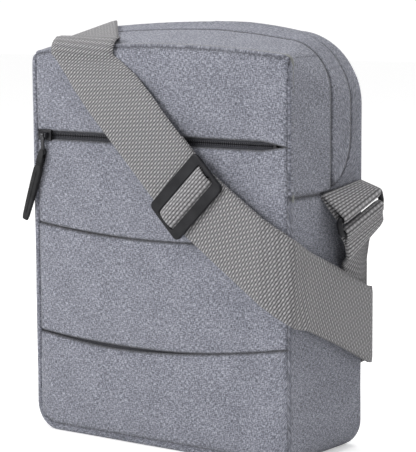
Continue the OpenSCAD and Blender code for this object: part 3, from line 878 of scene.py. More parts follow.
front_lines = [square_on(ADJUST_A - 20, upper_b(ADJUST_A - 20), UPPER, H_FRONT),
               square_on(ADJUST_A, ADJUST_B, (UPPER + LOWER) / 2, H_FRONT),
               square_on(ADJUST_A + 20, lower_b(ADJUST_A + 20), LOWER, H_FRONT)]
side_lines = [upright(88, lower_b(88), LOWER, H_FRONT), upright(97, lower_b(97), LOWER, 6)]
first_b, last_b = lower_b(half_w - TURN), side_b(SIDE_FROM)
side_lines += [upright(half_w - TURN + QUARTER * i / 4, first_b + (last_b - first_b) * i / 4, LOWER, H_EDGE)
               for i in range(5)]
side_lines += [upright(SIDE_FROM + 12, side_b(SIDE_FROM + 12), SIDE_FALL, 4.6),
               upright(SIDE_FROM + 44, side_b(SIDE_FROM + 44), SIDE_FALL, 6.4)]
side_lines += [upright(SIDE_TO + QUARTER * i / 4, side_b(SIDE_TO + QUARTER * i / 4), SIDE_FALL, H_BACK)
               for i in range(5)]
FOLD_A = BACK_FROM + (91 - side_b(BACK_FROM)) / (math.tan(CLIMB) - math.tan(SIDE_FALL))
CREASE = math.pi / 2 - (SIDE_FALL + CLIMB) / 2
CREASE_HALF = WEB_W / 2 / math.cos((CLIMB - SIDE_FALL) / 2)


def crease_line(h, angle):
    u, v = CREASE_HALF * math.cos(CREASE), CREASE_HALF * math.sin(CREASE)
    return (FOLD_A - u, side_b(FOLD_A) - v), (FOLD_A + u, side_b(FOLD_A) + v), h, angle


side_lines += [crease_line(H_BACK, SIDE_FALL)]
return_lines = [crease_line(H_RETURN, CLIMB)]
return_lines += [upright(SIDE_TO + QUARTER * i / 4, return_b(SIDE_TO + QUARTER * i / 4), CLIMB, H_RETURN)
                 for i in range(4, -1, -1)]
print("lines across the strap:", len(over_lines) + len(front_lines) + len(side_lines) + len(return_lines))

# %% [markdown]
# Where the strap hangs free, on the hidden left side and in the loop at the ring, its lines are
# placed in space: a middle point and the direction of the webbing's width.

# %% Free stretches of the strap
def spread(middle, way):
    half = WEB_W / 2 * np.array(way) / np.linalg.norm(way)
    return np.array(middle) - half, np.array(middle) + half


left_route = [spread(*line) for line in (
    ((-108.4, -6, 152), (0, 1, 0)), ((-108.4, -6, 170), (0, 1, 0)), ((-111, -5, 186), (0, 1, 0.06)),
    ((-114, 0, 204), (0, 1, 0.2)), ((-115.5, 8, 222), (0, 1, 0.35)), ((-113.5, 17, 238), (-0.05, 1, 0.3)))]
RING_AT = np.array([118.2, 17.0, 161.5])
RING_RISE, RING_REACH, BAR_R = math.radians(19), 9.5, 1.9
BAR_WAY = (0, math.cos(RING_RISE), math.sin(RING_RISE))


def ring_point(x, z):
    return RING_AT + np.array([x, -z * math.sin(RING_RISE), z * math.cos(RING_RISE)])


loop_route = [((107.6, 29, 92), (108, 43, 133)), ((107.8, 14, 120.5), (108.5, 47, 142)),
              ((117.5, 5, 128), (116, 46.5, 147.5))]
loop_route += [spread(ring_point(0, -RING_REACH - z), BAR_WAY) for z in (9.5, 7)]
ACROSS = 15


def thinned(edge):
    """How far a face of the webbing sinks towards its rounded edge."""
    return 0.4 * np.clip(1 - edge / 1.6, 0, 1)


def strip_faces(count):
    """Faces of a closed strip: count rings of points, with a row of caps at each end."""
    ring = 2 * ACROSS
    k = np.arange(count * ring).reshape(count, ring)
    faces = []
    for i in range(count - 1):
        for j in range(ring):
            m = (j + 1) % ring
            faces.append((k[i, j], k[i, m], k[i + 1, m], k[i + 1, j]))
    for row, flip in ((k[0], True), (k[-1], False)):
        for j in range(ACROSS - 1):
            quad = (row[j], row[j + 1], row[ring - 2 - j], row[ring - 1 - j])
            faces.append(quad[::-1] if flip else quad)
    return faces


def flat_rows(lines, wrap, low, high, step=2.0):
    """Points of a wrapped stretch: (inner, outer, uv) rows, filled in every step mm."""
    inner, outer, measure = [], [], []
    run, before = 0.0, None
    t = np.linspace(0, 1, ACROSS)
    for first, second in zip(lines[:-1], lines[1:]):
        p, q = (np.array([line[0], line[1]]) for line in (first, second))
        gap = np.linalg.norm(q.mean(axis=0) - p.mean(axis=0))
        count = max(1, int(math.ceil(gap / step)))
        last = second is lines[-1]
        for share in np.linspace(0, 1, count + 1)[:None if last else -1]:
            ends = p + (q - p) * share
            smooth = share * share * (3 - 2 * share)
            h = first[2] + (second[2] - first[2]) * smooth
            angle = first[3] + (second[3] - first[3]) * share
            points = ends[0] + (ends[1] - ends[0]) * t[:, None]
            centre = ends.mean(axis=0)
            here = np.array(wrap(*centre, h + high))
            run += 0.0 if before is None else np.linalg.norm(here - before)
            before = here
            ahead = np.array([math.cos(angle), -math.sin(angle)])
            side = np.array([math.sin(angle), math.cos(angle)])
            offsets = points - centre
            measure.append(np.stack([offsets @ side + WEB_W / 2, run + offsets @ ahead], axis=1))
            edge = np.minimum(t, 1 - t) * WEB_W
            thin = thinned(edge)
            inner.append([wrap(a, b, h + low + c) for (a, b), c in zip(points, thin)])
            outer.append([wrap(a, b, h + high - c) for (a, b), c in zip(points, thin)])
    return np.array(inner), np.array(outer), np.array(measure)


def free_rows(route, low, high, start=None, end=None, step=2.5):
    """Points of a free stretch. start and end are rows of the wrapped stretch that it joins."""
    t = np.linspace(-0.5, 0.5, ACROSS)
    keys = np.array(route, dtype=float).reshape(len(route), 6)
    if start is not None:
        keys = np.vstack([np.concatenate([start[0], start[-1]]), keys])
    if end is not None:
        keys = np.vstack([keys, np.concatenate([end[0], end[-1]])])
    padded = np.vstack([2 * keys[0] - keys[1], keys, 2 * keys[-1] - keys[-2]])
    rows = []
    for k in range(1, len(padded) - 2):
        p0, p1, p2, p3 = padded[k - 1:k + 3]
        gap = np.linalg.norm((p2 - p1).reshape(2, 3).mean(axis=0))
        for s in np.linspace(0, 1, max(2, int(gap / step)) + 1)[:-1]:
            rows.append(0.5 * (2 * p1 + (p2 - p0) * s + (2 * p0 - 5 * p1 + 4 * p2 - p3) * s ** 2
                               + (3 * p1 - p0 - 3 * p2 + p3) * s ** 3))
    rows.append(padded[-2])
    rows = np.array(rows).reshape(-1, 2, 3)
    middle = rows.mean(axis=1)
    width = rows[:, 1] - rows[:, 0]
    ahead = np.gradient(middle, axis=0)
    normal = np.cross(width, ahead)
    normal /= np.linalg.norm(normal, axis=1, keepdims=True)
    edge = (0.5 - np.abs(t)) * WEB_W
    thin = thinned(edge)
    points = middle[:, None] + width[:, None] * t[None, :, None]
    run = np.linalg.norm(np.diff(middle, axis=0, prepend=middle[:1]), axis=1).cumsum()
    measure = np.stack([np.broadcast_to((t + 0.5) * WEB_W, points.shape[:2]),
                        np.broadcast_to(run[:, None], points.shape[:2])], axis=-1)
    return (points + normal[:, None] * (low + thin)[None, :, None],
            points + normal[:, None] * (high - thin)[None, :, None], measure)


def strip_piece(name, stretches, nodes, length_note):
    """Joins stretches into one closed strip of webbing."""
    inner = np.concatenate([s[0] for s in stretches])
    outer = np.concatenate([s[1] for s in stretches])
    runs, offset = [], 0.0
    for k, s in enumerate(stretches):
        middle = s[2][:, ACROSS // 2, 1]
        if k:
            offset += np.linalg.norm(s[1][0][ACROSS // 2] - stretches[k - 1][1][-1][ACROSS // 2])
        runs.append(s[2] + np.array([0, offset - middle[0]]))
        offset += middle[-1] - middle[0]
    measure = np.concatenate(runs)
    points = np.concatenate([outer, inner[:, ::-1]], axis=1)
    uv = np.concatenate([measure, measure[:, ::-1]], axis=1)
    faces = [f[::-1] for f in strip_faces(len(inner))]
    piece = make_piece(name, points.reshape(-1, 3), faces, webbing, "root", nodes, uv.reshape(-1, 2),
                       closed=True)
    print(length_note, round(offset), "mm")
    return piece


# %% [markdown]
# The outer layer runs from the left tab over the top, through the adjuster and round the right
# side to its fold on the back. The under layer runs from the adjuster beside it. The return
# comes back from the fold, nearer the bag, and climbs free to the ring.

# %% The strap's layers
over_part = flat_rows(over_lines, round_left, 0, WEB_T)
front_part = flat_rows(over_lines[-1:] + front_lines + side_lines, round_side, 0, WEB_T)
left_part = free_rows(left_route, WEB_T / 2, -WEB_T / 2, end=(over_part[0][0] + over_part[1][0]) / 2)
left_part = tuple(part[:-1] for part in left_part)
front_part = tuple(part[1:] for part in front_part)
shoulder_strap = strip_piece("shoulder_strap_webbing", [left_part, over_part, front_part], ["shoulder_strap"],
                             "outer layer of the strap:")
under_part = flat_rows(front_lines + side_lines, round_side, -WEB_T - 0.1, -0.1)
under_layer = strip_piece("strap_under_webbing", [under_part], ["strap_under_layer"], "under layer:")
return_part = flat_rows(return_lines, round_side, 0, 2 * WEB_T + 0.1)
loop_part = free_rows(loop_route, -WEB_T, WEB_T, start=(return_part[0][-1] + return_part[1][-1]) / 2)
loop_part = tuple(part[1:] for part in loop_part)
strap_return = strip_piece("strap_return_webbing", [return_part, loop_part], ["strap_return"], "return to the ring:")

# %% [markdown]
# The adjuster is a moulded frame with three bars. A flat curve with two windows cut in it, given
# a thickness and a rounded edge, is the quickest clean way to such a frame.


# %% Adjuster
def mesh_from_curve(data, name, finish, body, nodes, matrix):
    helper = bpy.data.objects.new(name + "_curve", data)
    bpy.context.collection.objects.link(helper)
    bpy.context.view_layer.update()
    mesh = bpy.data.meshes.new_from_object(helper.evaluated_get(bpy.context.evaluated_depsgraph_get()))
    bpy.data.objects.remove(helper)
    mesh.transform(matrix)
    mesh.polygons.foreach_set("use_smooth", [True] * len(mesh.polygons))
    mesh.materials.clear()
    mesh.materials.append(finish)
    piece = bpy.data.objects.new(name, mesh)
    bpy.context.collection.objects.link(piece)
    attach(piece, body)
    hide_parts(*nodes)
    return piece


def rounded_rectangle(half_x, half_y, radius, cx=0.0, cy=0.0, steps=6):
    points = []
    for sx, sy, start in ((1, 1, 0), (-1, 1, 90), (-1, -1, 180), (1, -1, 270)):
        for i in range(steps + 1):
            q = math.radians(start + 90 * i / steps)
            points.append((cx + sx * (half_x - radius) + radius * math.cos(q),
                           cy + sy * (half_y - radius) + radius * math.sin(q)))
    return points


def add_outline(data, points, height=0.0):
    spline = data.splines.new("POLY")
    spline.points.add(len(points) - 1)
    for point, (x, y) in zip(spline.points, points):
        point.co = (x * MM, y * MM, height * MM, 1)
    spline.use_cyclic_u = True


GLIDE_L, GLIDE_LOW, GLIDE_HIGH, GLIDE_T, MIDDLE_BAR = 51.0, -17.8, 13.0, 2.8, -2.6
GLIDE_H = H_FRONT + WEB_T + 0.4
GLIDE_EDGE, SLOT_HALF, SLOT_OFFSET = 0.7, 2.7, 4.9
at_adjuster = (Matrix.Translation(Vector((ADJUST_A, -half_d - GLIDE_H, ADJUST_B)) * MM)
               @ Matrix.Rotation(math.radians(90), 4, "X") @ Matrix.Rotation(math.pi / 2 - UPPER, 4, "Z"))
glide = bpy.data.curves.new("glide", "CURVE")
glide.dimensions = "2D"
glide.fill_mode = "BOTH"
glide.extrude = (GLIDE_T / 2 - GLIDE_EDGE) * MM
glide.bevel_depth = GLIDE_EDGE * MM
glide.bevel_resolution = 3
glide.offset = -GLIDE_EDGE * MM
glide_half, glide_middle = (GLIDE_HIGH - GLIDE_LOW) / 2, (GLIDE_HIGH + GLIDE_LOW) / 2
add_outline(glide, rounded_rectangle(GLIDE_L / 2, glide_half, 3.5, 0, glide_middle))
for side in (-1, 1):
    slot_at = MIDDLE_BAR + side * SLOT_OFFSET
    add_outline(glide, rounded_rectangle(WEB_W / 2 + 0.3, SLOT_HALF, 1.2, 0, slot_at))
lift = Matrix.Translation(Vector((0, 0, GLIDE_T / 2)) * MM)
tri_glide = mesh_from_curve(glide, "tri_glide_frame", buckle_plastic, "adjuster",
                            ["tri_glide"], at_adjuster @ lift)
print("adjuster:", len(tri_glide.data.vertices), "points")


# %% [markdown]
# Webbing that passes over a bar is a short bent strip with an even thickness. One function makes
# it from the line of its section, and serves the adjuster's bar, the ring and the tab.


# %% Bent strips of webbing
def bent_strip(name, section, width, thickness, matrix, body, nodes, skew=None):
    """section: points (along, up) of the strip's inner face, extruded across its width.
    skew: the rise of each point for each unit of width, where the strip twists."""
    line = np.array(section, dtype=float)
    ahead = np.gradient(line, axis=0)
    ahead /= np.linalg.norm(ahead, axis=1, keepdims=True)
    outer = line + thickness * np.stack([-ahead[:, 1], ahead[:, 0]], axis=1)
    count = len(line)
    x = np.linspace(-width / 2, width / 2, ACROSS)
    edge = np.minimum(x + width / 2, width / 2 - x)
    thin = thinned(edge)
    run = np.linalg.norm(np.diff(line, axis=0, prepend=line[:1]), axis=1).cumsum()
    points, uv = [], []
    for i in range(count):
        n = (outer[i] - line[i]) / thickness
        top = [(xx, *(outer[i] - n * t)) for xx, t in zip(x, thin)]
        low = [(xx, *(line[i] + n * t)) for xx, t in zip(x[::-1], thin[::-1])]
        lean = skew[i] if skew else 0.0
        points += [(xx, y, z + lean * xx) for xx, y, z in top + low]
        uv += [(xx + width / 2, run[i]) for xx in x] + [(xx + width / 2, run[i]) for xx in x[::-1]]
    moved = [matrix @ (Vector(p) * MM) for p in points]
    piece = make_piece(name, np.array([tuple(p) for p in moved]) / MM, strip_faces(count), webbing,
                       body, nodes, uv, closed=True)
    return piece


def swing(cx, cy, radius, start, end, count=12):
    return [(cx + radius * math.cos(q), cy + radius * math.sin(q))
            for q in np.radians(np.linspace(start, end, count))]


rise = np.radians(np.linspace(0, 180, 25))
hump = [(MIDDLE_BAR - 6.5 * math.cos(q), 0.2 + 3.1 * math.sin(q) ** 0.8) for q in rise]
adjuster_bight = bent_strip("adjuster_bight_webbing", hump, WEB_W - 1, WEB_T, at_adjuster, "adjuster",
                            ["adjuster_bight"])
at_ring = Matrix.Translation(Vector(RING_AT) * MM) @ Matrix.Rotation(RING_RISE, 4, "X")
# The strip's width goes along the ring's bars, and its section lies across them.
to_ring = at_ring @ Matrix(((0, 1, 0, 0), (1, 0, 0, 0), (0, 0, 1, 0), (0, 0, 0, 1)))
TAB_R = BAR_R + 0.3
TAB_ROOT = np.array([-11.3, 10.9])
tab_way = math.degrees(math.atan2(TAB_ROOT[1], TAB_ROOT[0])) - 90
tab_out = np.array([math.cos(math.radians(tab_way)), math.sin(math.radians(tab_way))])
shares = (1, 0.75, 0.5, 0.25)
offsets = (0.1, 0.65, 1.2, 1.7)
tab_line = [tuple(share * TAB_ROOT + off * tab_out) for share, off in zip(shares, offsets)]
tab_skew = [-0.2 * share for share in shares]
tab_line += swing(0, 0, TAB_R, tab_way, tab_way - 180, 13)
tab_skew += [0.0] * 13
tab_line += [tuple(share * TAB_ROOT - off * tab_out) for share, off in zip(shares[::-1], offsets[::-1])]
tab_skew += [-0.2 * share for share in shares[::-1]]
right_tab = bent_strip("right_tab_webbing", tab_line, WEB_W, WEB_T, to_ring, "root", ["right_tab"], tab_skew)
tail = [(0.05, 7.4), (0.1, 6.4), (0.5, 4.6), (1.5, 2.9)]
bight_line = [(-x, -RING_REACH - z) for x, z in tail] + swing(0, -RING_REACH, TAB_R, 215, -35, 16)
bight_line += [(x, -RING_REACH - z) for x, z in tail[::-1]]
ring_bight = bent_strip("ring_bight_webbing", bight_line, WEB_W, WEB_T, to_ring, "root", ["ring_bight"])
crease_way = Vector((-math.cos(CREASE), 0, math.sin(CREASE)))
crease_out = Vector((-math.sin(CREASE), 0, -math.cos(CREASE)))
DOUBLE_T = 2 * WEB_T + 0.1
fold_r = (H_BACK + WEB_T - H_RETURN) / 2
crease_at = Vector((half_w - TURN - (FOLD_A - BACK_FROM), half_d + H_RETURN + fold_r, side_b(FOLD_A))) * MM
to_crease = Matrix.Translation(crease_at) @ Matrix((crease_way, crease_out, (0, 1, 0))).transposed().to_4x4()
strap_fold = bent_strip("strap_fold_webbing", swing(0, 0, fold_r - DOUBLE_T, 90, -90, 9), 2 * CREASE_HALF, DOUBLE_T,
                        to_crease, "root", ["strap_fold"])
left_low, left_high = box_mm("left_tab")
to_left = (Matrix.Translation(Vector((left_high[0], -6, left_low[2])) * MM)
           @ Matrix(((0, -1, 0, 0), (1, 0, 0, 0), (0, 0, 1, 0), (0, 0, 0, 1))))
left_tab = bent_strip("left_tab_webbing", [(0.2, z) for z in (0, 6, 12, 18, 24)], WEB_W, 1.8, to_left, "root",
                      ["left_tab"])
print("bent strips:", [o.name for o in (adjuster_bight, right_tab, ring_bight, strap_fold, left_tab)])

# %% [markdown]
# The ring is a rectangular loop of round black rod. A closed curve with a round section is all
# it needs.

# %% Ring
rod = bpy.data.curves.new("rod", "CURVE")
rod.dimensions = "3D"
rod.bevel_depth = BAR_R * MM
rod.bevel_resolution = 5
add_outline(rod, rounded_rectangle(RING_REACH / 2, 25.0, 2.6, RING_REACH / 2, 0))
stand_up = at_ring @ Matrix.Rotation(math.pi / 2, 4, "Y")
right_ring = mesh_from_curve(rod, "right_ring_rod", buckle_plastic, "root",
                             ["right_ring"], stand_up)
print("ring:", len(right_ring.data.vertices), "points")

# %% [markdown]
# Zip coils are nylon spirals. A row of short slanted beads on each side of the middle reads as
# the coil, and costs little. The same bead serves for stitches, which are short loops of thread
# that sink into the cloth at both ends.


# %% Beads for coils and stitches
def beads(name, places, directions, length, radius, finish, body, nodes=()):
    """A row of small rounded rods, each at a place and along a direction."""
    shape, sides = [(-0.5, 0.35), (-0.38, 0.85), (0.0, 1.0), (0.38, 0.85), (0.5, 0.35)], 6
    points, faces = [], []
    for place, direction in zip(np.asarray(places), np.asarray(directions)):
        ahead = direction / np.linalg.norm(direction)
        side = np.cross(ahead, (0.13, 0.31, 0.94))
        side /= np.linalg.norm(side)
        over = np.cross(side, ahead)
        base = len(points)
        for along, wide in shape:
            for j in range(sides):
                q = 2 * math.pi * j / sides
                points.append(place + ahead * along * length
                              + radius * wide * (side * math.cos(q) + over * math.sin(q)))
        for i in range(len(shape) - 1):
            for j in range(sides):
                k, m = base + i * sides, (j + 1) % sides
                faces.append((k + j, k + m, k + sides + m, k + sides + j))
        end = base + (len(shape) - 1) * sides
        faces += [tuple(base + j for j in reversed(range(sides))), tuple(end + j for j in range(sides))]
    uv = np.array(points)[:, [0, 2]]
    return make_piece(name, points, faces, finish, body, nodes, uv)


zip_low, zip_high = box_mm("front_zip_coil")
coil_x = np.arange(zip_low[0] + 1, zip_high[0] - 0.5, 1.5)
coil_y = zip_low[1] + 0.6
places = np.array([(x, coil_y, ZIP_Z + s * 0.75) for x in coil_x for s in (-1, 1)])
directions = np.array([(0.28 * s, 0, 1.0) for x in coil_x for s in (-1, 1)])
front_coil = beads("front_zip_coil_teeth", places, directions, 1.8, 0.5, coil_nylon, "root",
                   ["front_zip_coil"])
guide = at_depth(hood_run(ZIP_PLANE, 1.7, "right", "left"), ZIP_PLANE)
run = run_length(guide[None], 1)[0]
where = np.arange(3, run[-1] - 2, 1.6)
line = np.stack([np.interp(where, run, guide[:, i]) for i in range(3)], axis=1)
ahead = np.gradient(line, axis=0)
places = np.concatenate([line + (0, s * 0.75, 0) for s in (-1, 1)])
directions = np.concatenate([np.array([(0.0, 1.0, 0.0)] * len(line)) + 0.25 * ahead / 1.6 * s for s in (-1, 1)])
main_coil = beads("main_zip_coil_teeth", places, directions, 1.8, 0.5, coil_nylon, "root",
                  ["main_zip_coil"])
print("coil beads:", 2 * len(coil_x), "and", 2 * len(line))


# %% [markdown]
# Tapes and facings are flat dark cloth that shows only through the slots: the zip tapes are
# black, and the pleat facings are near-black as painted shade inside the pleats. Grids a little
# behind the front do the job; the main zip's tapes follow the hood.

# %% Tapes and facings
NO_SEAMS = (None, None, None, None)


def flat_tape(name, node):
    low, high = box_mm(node)
    x = np.linspace(low[0], high[0], 60)
    rows = [np.stack([x, np.full(60, low[1] + 0.1), np.full(60, z)], axis=1)
            for z in np.linspace(low[2], high[2], 8)]
    return lay_cloth(name, rows, dark_tape_and_pleat_shade, [node], NO_SEAMS, wave=0.12,
                     outward=(0, -1, 0), seed=31.0)


# The pleat facings are near-black as painted shade inside each pleat.
def pleat_facing(name, node, curve):
    low, high = box_mm(node)
    x = np.linspace(low[0], high[0], 60)
    rows = [np.stack([x, np.full(60, low[1] + 0.1), curve(x) + d], axis=1)
            for d in np.linspace(-9, 9, 9)]
    return lay_cloth(name, rows, dark_tape_and_pleat_shade, [node], NO_SEAMS, wave=0.12,
                     outward=(0, -1, 0), seed=32.0)


tapes = [flat_tape("front_tape_upper", "front_zip_tape_upper"),
         flat_tape("front_tape_lower", "front_zip_tape_lower"),
         pleat_facing("upper_facing", "upper_pleat_facing", upper_pleat),
         pleat_facing("lower_facing", "lower_pleat_facing", lower_pleat)]
for name, node, first, last in (("main_tape_front", "main_zip_tape_front", -9.5, -0.4),
                                ("main_tape_back", "main_zip_tape_back", 0.4, 9.5)):
    rows = [at_depth(hood_run(ZIP_PLANE + d, 2.7, "right", "left"), ZIP_PLANE + d)
            for d in np.linspace(first, last, 6)]
    tapes.append(lay_cloth(name, rows, dark_tape_and_pleat_shade, [node], NO_SEAMS, wave=0.1, outward=(0, 0, 1),
                           seed=33.0))
print("tapes and facings:", len(tapes))

# %% [markdown]
# Topstitching holds the strip to the flap and runs beside the gusset seams. Each stitch is one
# bead, laid along the outline a little above the cloth.


# %% Topstitching
STITCH_PITCH, STITCH_L, STITCH_R = 3.1, 2.2, 0.3


def stitch_line(name, path):
    path = np.asarray(path, dtype=float)
    run = run_length(path[None], 1)[0]
    where = np.arange(STITCH_PITCH, run[-1] - STITCH_PITCH / 2, STITCH_PITCH)
    places = np.stack([np.interp(where, run, path[:, i]) for i in range(3)], axis=1)
    return beads(name, places, np.gradient(places, axis=0), STITCH_L, STITCH_R, thread_finish,
                 "root")


def hood_stitches(name, y):
    return stitch_line(name, at_depth(hood_run(y, 0.1, "right", "left"), y))


stitches = [hood_stitches("flap_topstitch", STITCH_PLANE + 2.2),
            hood_stitches("back_strip_topstitch", half_d - ROUND - 5.5)]
for side, name in ((1, "right"), (-1, "left")):
    path = [(side * (half_w - 0.1), y, GUSSET_Z - 3.2)
            for y in np.linspace(-half_d + 6, half_d - 6, 20)]
    stitches.append(stitch_line(name + "_gusset_topstitch", path))
print("stitch lines:", len(stitches))

# %% [markdown]
# Zip sliders are small castings: a waisted plate over the coil, two cheeks and a bar for the
# link. The link is a flat eye, and the pull is a moulded grip with ribs at its neck and a line
# down its tongue. They are drawn once, hanging from the origin with the outside towards -Y, and
# placed twice.


# %% Helpers for the hardware
def loft(sections):
    """Closed solid through rounded rectangles: (z, half width, half depth, centre depth, corner)."""
    points, faces = [], []
    for z, wide, deep, y, radius in sections:
        ring = rounded_rectangle(wide, deep, min(radius, wide * 0.98, deep * 0.98), 0, y, steps=4)
        points += [(px, py, z) for px, py in ring]
    count = len(ring)
    for i in range(len(sections) - 1):
        for j in range(count):
            k, m = i * count, (j + 1) % count
            faces.append((k + j, k + m, k + count + m, k + count + j))
    end = (len(sections) - 1) * count
    faces += [tuple(reversed(range(count))), tuple(end + j for j in range(count))]
    return points, faces


def combine(*parts):
    points, faces = [], []
    for part_points, part_faces in parts:
        base = len(points)
        points += [tuple(p) for p in part_points]
        faces += [tuple(base + i for i in f) for f in part_faces]
    return points, faces


def placed(part, matrix):
    points, faces = part
    return [tuple(matrix @ Vector(p)) for p in points], faces


def rod_along_x(length, radius, y, z, sides=14):
    points, faces = [], []
    for x, r in ((-length / 2, radius * 0.8), (-length / 2 + 0.2, radius), (length / 2 - 0.2, radius),
                 (length / 2, radius * 0.8)):
        points += [(x, y + r * math.cos(2 * math.pi * j / sides), z + r * math.sin(2 * math.pi * j / sides))
                   for j in range(sides)]
    for i in range(3):
        for j in range(sides):
            k, m = i * sides, (j + 1) % sides
            faces.append((k + j, k + sides + j, k + sides + m, k + m))
    faces += [tuple(range(sides)), tuple(3 * sides + j for j in reversed(range(sides)))]
    return points, faces


def hardware(name, part, matrix, finish, body, node, bevel=0.25):
    points, faces = placed(part, matrix)
    uv = np.array(points)[:, [0, 2]]
    piece = make_piece(name, points, faces, finish, body, [node], uv)
    edge = piece.modifiers.new("edge", "BEVEL")
    edge.width = bevel * MM
    edge.segments = 2
    edge.limit_method = "ANGLE"
    return piece


BAR_H, LINK_W, LINK_L = 3.7, 3.2, 11.0


def slider_part(turned):
    """The plate is waisted: wide at its nose, narrow at its tail."""
    plate = loft([(-5.5, 2.9, 0.65, -0.95, 0.5), (-4.2, 3.5, 0.65, -0.95, 0.5), (-1.5, 3.4, 0.65, -0.95, 0.5),
                  (1.0, 3.2, 0.65, -0.95, 0.5), (3.6, 4.0, 0.65, -0.95, 0.5), (5.5, 3.6, 0.65, -0.95, 0.5)])
    if not turned:
        plate = placed(plate, Matrix.Rotation(math.pi / 2, 3, "Y"))
    points, faces = loft([(-1.8, 0.6, 1.0, -2.6, 0.3), (-1.2, 0.6, 1.7, -3.2, 0.4),
                          (1.2, 0.6, 1.7, -3.2, 0.4), (1.8, 0.6, 1.0, -2.6, 0.3)])
    cheeks = [([(x + s * (LINK_W / 2 + 1), y, z) for x, y, z in points], faces) for s in (-1, 1)]
    return combine(plate, *cheeks, rod_along_x(LINK_W + 1.6, 0.7, -BAR_H, 0))


def link_part():
    q = np.linspace(0, 2 * math.pi, 20, endpoint=False)
    shapes = []
    for inner, outer, flat in ((1.0, 1.7, False), (1.1, 2.2, True)):
        points, faces = [], []
        half = LINK_W / 2 if not flat else 0.8
        for side in (-half, half):
            for radius in (inner, outer):
                for a in q:
                    if flat:
                        points.append((radius * math.cos(a), -BAR_H + side, -LINK_L + radius * math.sin(a)))
                    else:
                        points.append((side, -BAR_H + radius * math.cos(a), radius * math.sin(a)))
        n = len(q)
        for j in range(n):
            m = (j + 1) % n
            faces += [(j, m, n + m, n + j), (2 * n + j, 3 * n + j, 3 * n + m, 2 * n + m),
                      (j, 2 * n + j, 2 * n + m, m), (n + j, n + m, 3 * n + m, 3 * n + j)]
        shapes.append((points, faces))
    stem = loft([(-LINK_L + 1.8, 1.4, 0.75, -BAR_H, 0.3), (-6, 1.2, 0.7, -BAR_H, 0.3), (-1.4, 1.5, 0.75, -BAR_H, 0.3)])
    return combine(*shapes, stem)


def grip_part(length):
    """Pin, two cheeks, a ribbed neck, a wide body and a narrower tongue."""
    top = -LINK_L
    pin = placed(rod_along_x(3.9, 0.8, 0, 0), Matrix.Rotation(math.pi / 2, 3, "Z"))
    pin = ([(x, y - BAR_H, z + top) for x, y, z in pin[0]], pin[1])
    parts = [pin]
    for y in (1.55, -1.55):
        cheek = loft([(top - 7, 2.5, 0.35, -BAR_H + y, 0.3), (top - 3, 2.3, 0.35, -BAR_H + y, 0.3),
                      (top, 2.0, 0.35, -BAR_H + y, 0.3), (top + 1.8, 1.0, 0.35, -BAR_H + y, 0.3)])
        parts.append(cheek)
    neck = []
    for i in range(5):
        z = top - 4.0 - 1.35 * i
        neck += [(z, 2.9, 1.8, -BAR_H, 0.9), (z - 0.7, 2.9, 1.8, -BAR_H, 0.9), (z - 0.85, 2.4, 1.4, -BAR_H, 0.9),
                 (z - 1.2, 2.4, 1.4, -BAR_H, 0.9)]
    body = [(top - 11, 2.8, 1.6, -BAR_H, 0.9), (top - 13, 3.3, 1.75, -BAR_H + 0.05, 0.9),
            (top - 0.45 * length, 3.4, 1.6, -BAR_H + 0.1, 0.9), (top - 0.72 * length, 3.0, 1.4, -BAR_H, 0.8),
            (top - length + 3, 2.6, 1.2, -BAR_H, 0.8), (top - length + 0.4, 2.2, 0.9, -BAR_H, 0.8),
            (top - length, 1.6, 0.5, -BAR_H, 0.4)]
    parts.append(loft((neck + body)[::-1]))
    rail = loft([(top - length + 5, 0.35, 0.25, -BAR_H - 1.35, 0.2), (top - 14, 0.35, 0.25, -BAR_H - 1.7, 0.2)])
    parts.append(rail)
    return combine(*parts)


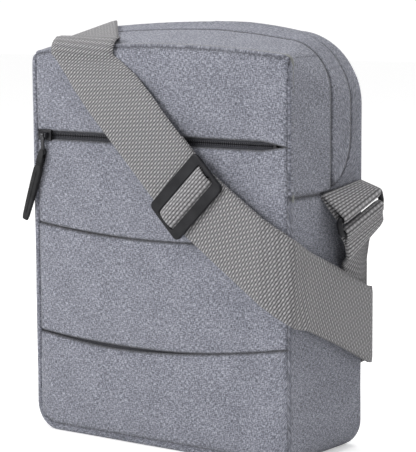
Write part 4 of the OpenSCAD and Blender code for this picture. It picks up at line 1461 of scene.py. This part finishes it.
# %% Sliders, links and pulls
pull_at = Matrix.Translation((-93.0, -half_d, ZIP_Z))
lean = (Matrix.Translation((0, 0, -LINK_L)) @ Matrix.Rotation(math.radians(20), 4, "Y")
        @ Matrix.Translation((0, 0, LINK_L)))
side_at = Matrix.Translation((-half_w, ZIP_PLANE, GUSSET_Z + 10)) @ Matrix.Rotation(-math.pi / 2, 4, "Z")
for end, slider, slider_at, grip, grip_at in (
        ("front", slider_part(False), pull_at, grip_part(50), pull_at @ lean),
        ("main", slider_part(True), side_at, grip_part(30), side_at)):
    hardware(end + "_slider_casting", slider, slider_at, black_metal, end + "_slider",
             end + "_zip_slider")
    hardware(end + "_link_eye", link_part(), slider_at, black_metal, end + "_link",
             end + "_pull_link")
    hardware(end + "_grip_moulding", grip, grip_at, pull_rubber, end + "_grip",
             end + "_pull_grip")
print("hardware placed")

# %% [markdown]
# The end stops and everything inside the bag keep their plain solids: their shapes are right and
# they are hidden or tiny. They only need their finishes.

# %% Finishes for the solids that stay
kept = {"front_zip_stops": black_metal, "pocket_divider": lining_cloth, "back_foam": foam_sheet,
        "back_lining": lining_cloth, "slip_pocket": lining_cloth, "side_lining": lining_cloth,
        "top_lining": lining_cloth, "base_board": board_sheet}
for node, finish in kept.items():
    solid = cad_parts[node]
    for place in solid.material_slots:
        place.material = finish
print("kept solids:", sorted(kept))

# %% [markdown]
# The floor is a wide pale sheet just under the bag.

# %% Floor
floor_mesh = bpy.data.meshes.new("floor")
REACH, FLOOR_Z, FLOOR_GLOW = 6.0, -0.0002, 0.42
corners = [(x * REACH, y * REACH, FLOOR_Z) for x, y in ((-1, -1), (1, -1), (1, 1), (-1, 1))]
floor_mesh.from_pydata(corners, [], [(0, 1, 2, 3)])
floor = bpy.data.objects.new("floor", floor_mesh)
bpy.context.collection.objects.link(floor)
floor_finish, floor_tree, floor_shader = start_finish("floor_paper", 0.9)
floor_shader.inputs["Base Color"].default_value = (0.93, 0.93, 0.93, 1)
floor_shader.inputs["Emission Color"].default_value = (1.0, 1.0, 1.0, 1.0)
glow = floor_tree.nodes.new("ShaderNodeLightPath").outputs["Is Camera Ray"]
seen_glow = calc(floor_tree, "MULTIPLY", glow, FLOOR_GLOW)
floor_tree.links.new(seen_glow, floor_shader.inputs["Emission Strength"])
floor_mesh.materials.append(floor_finish)
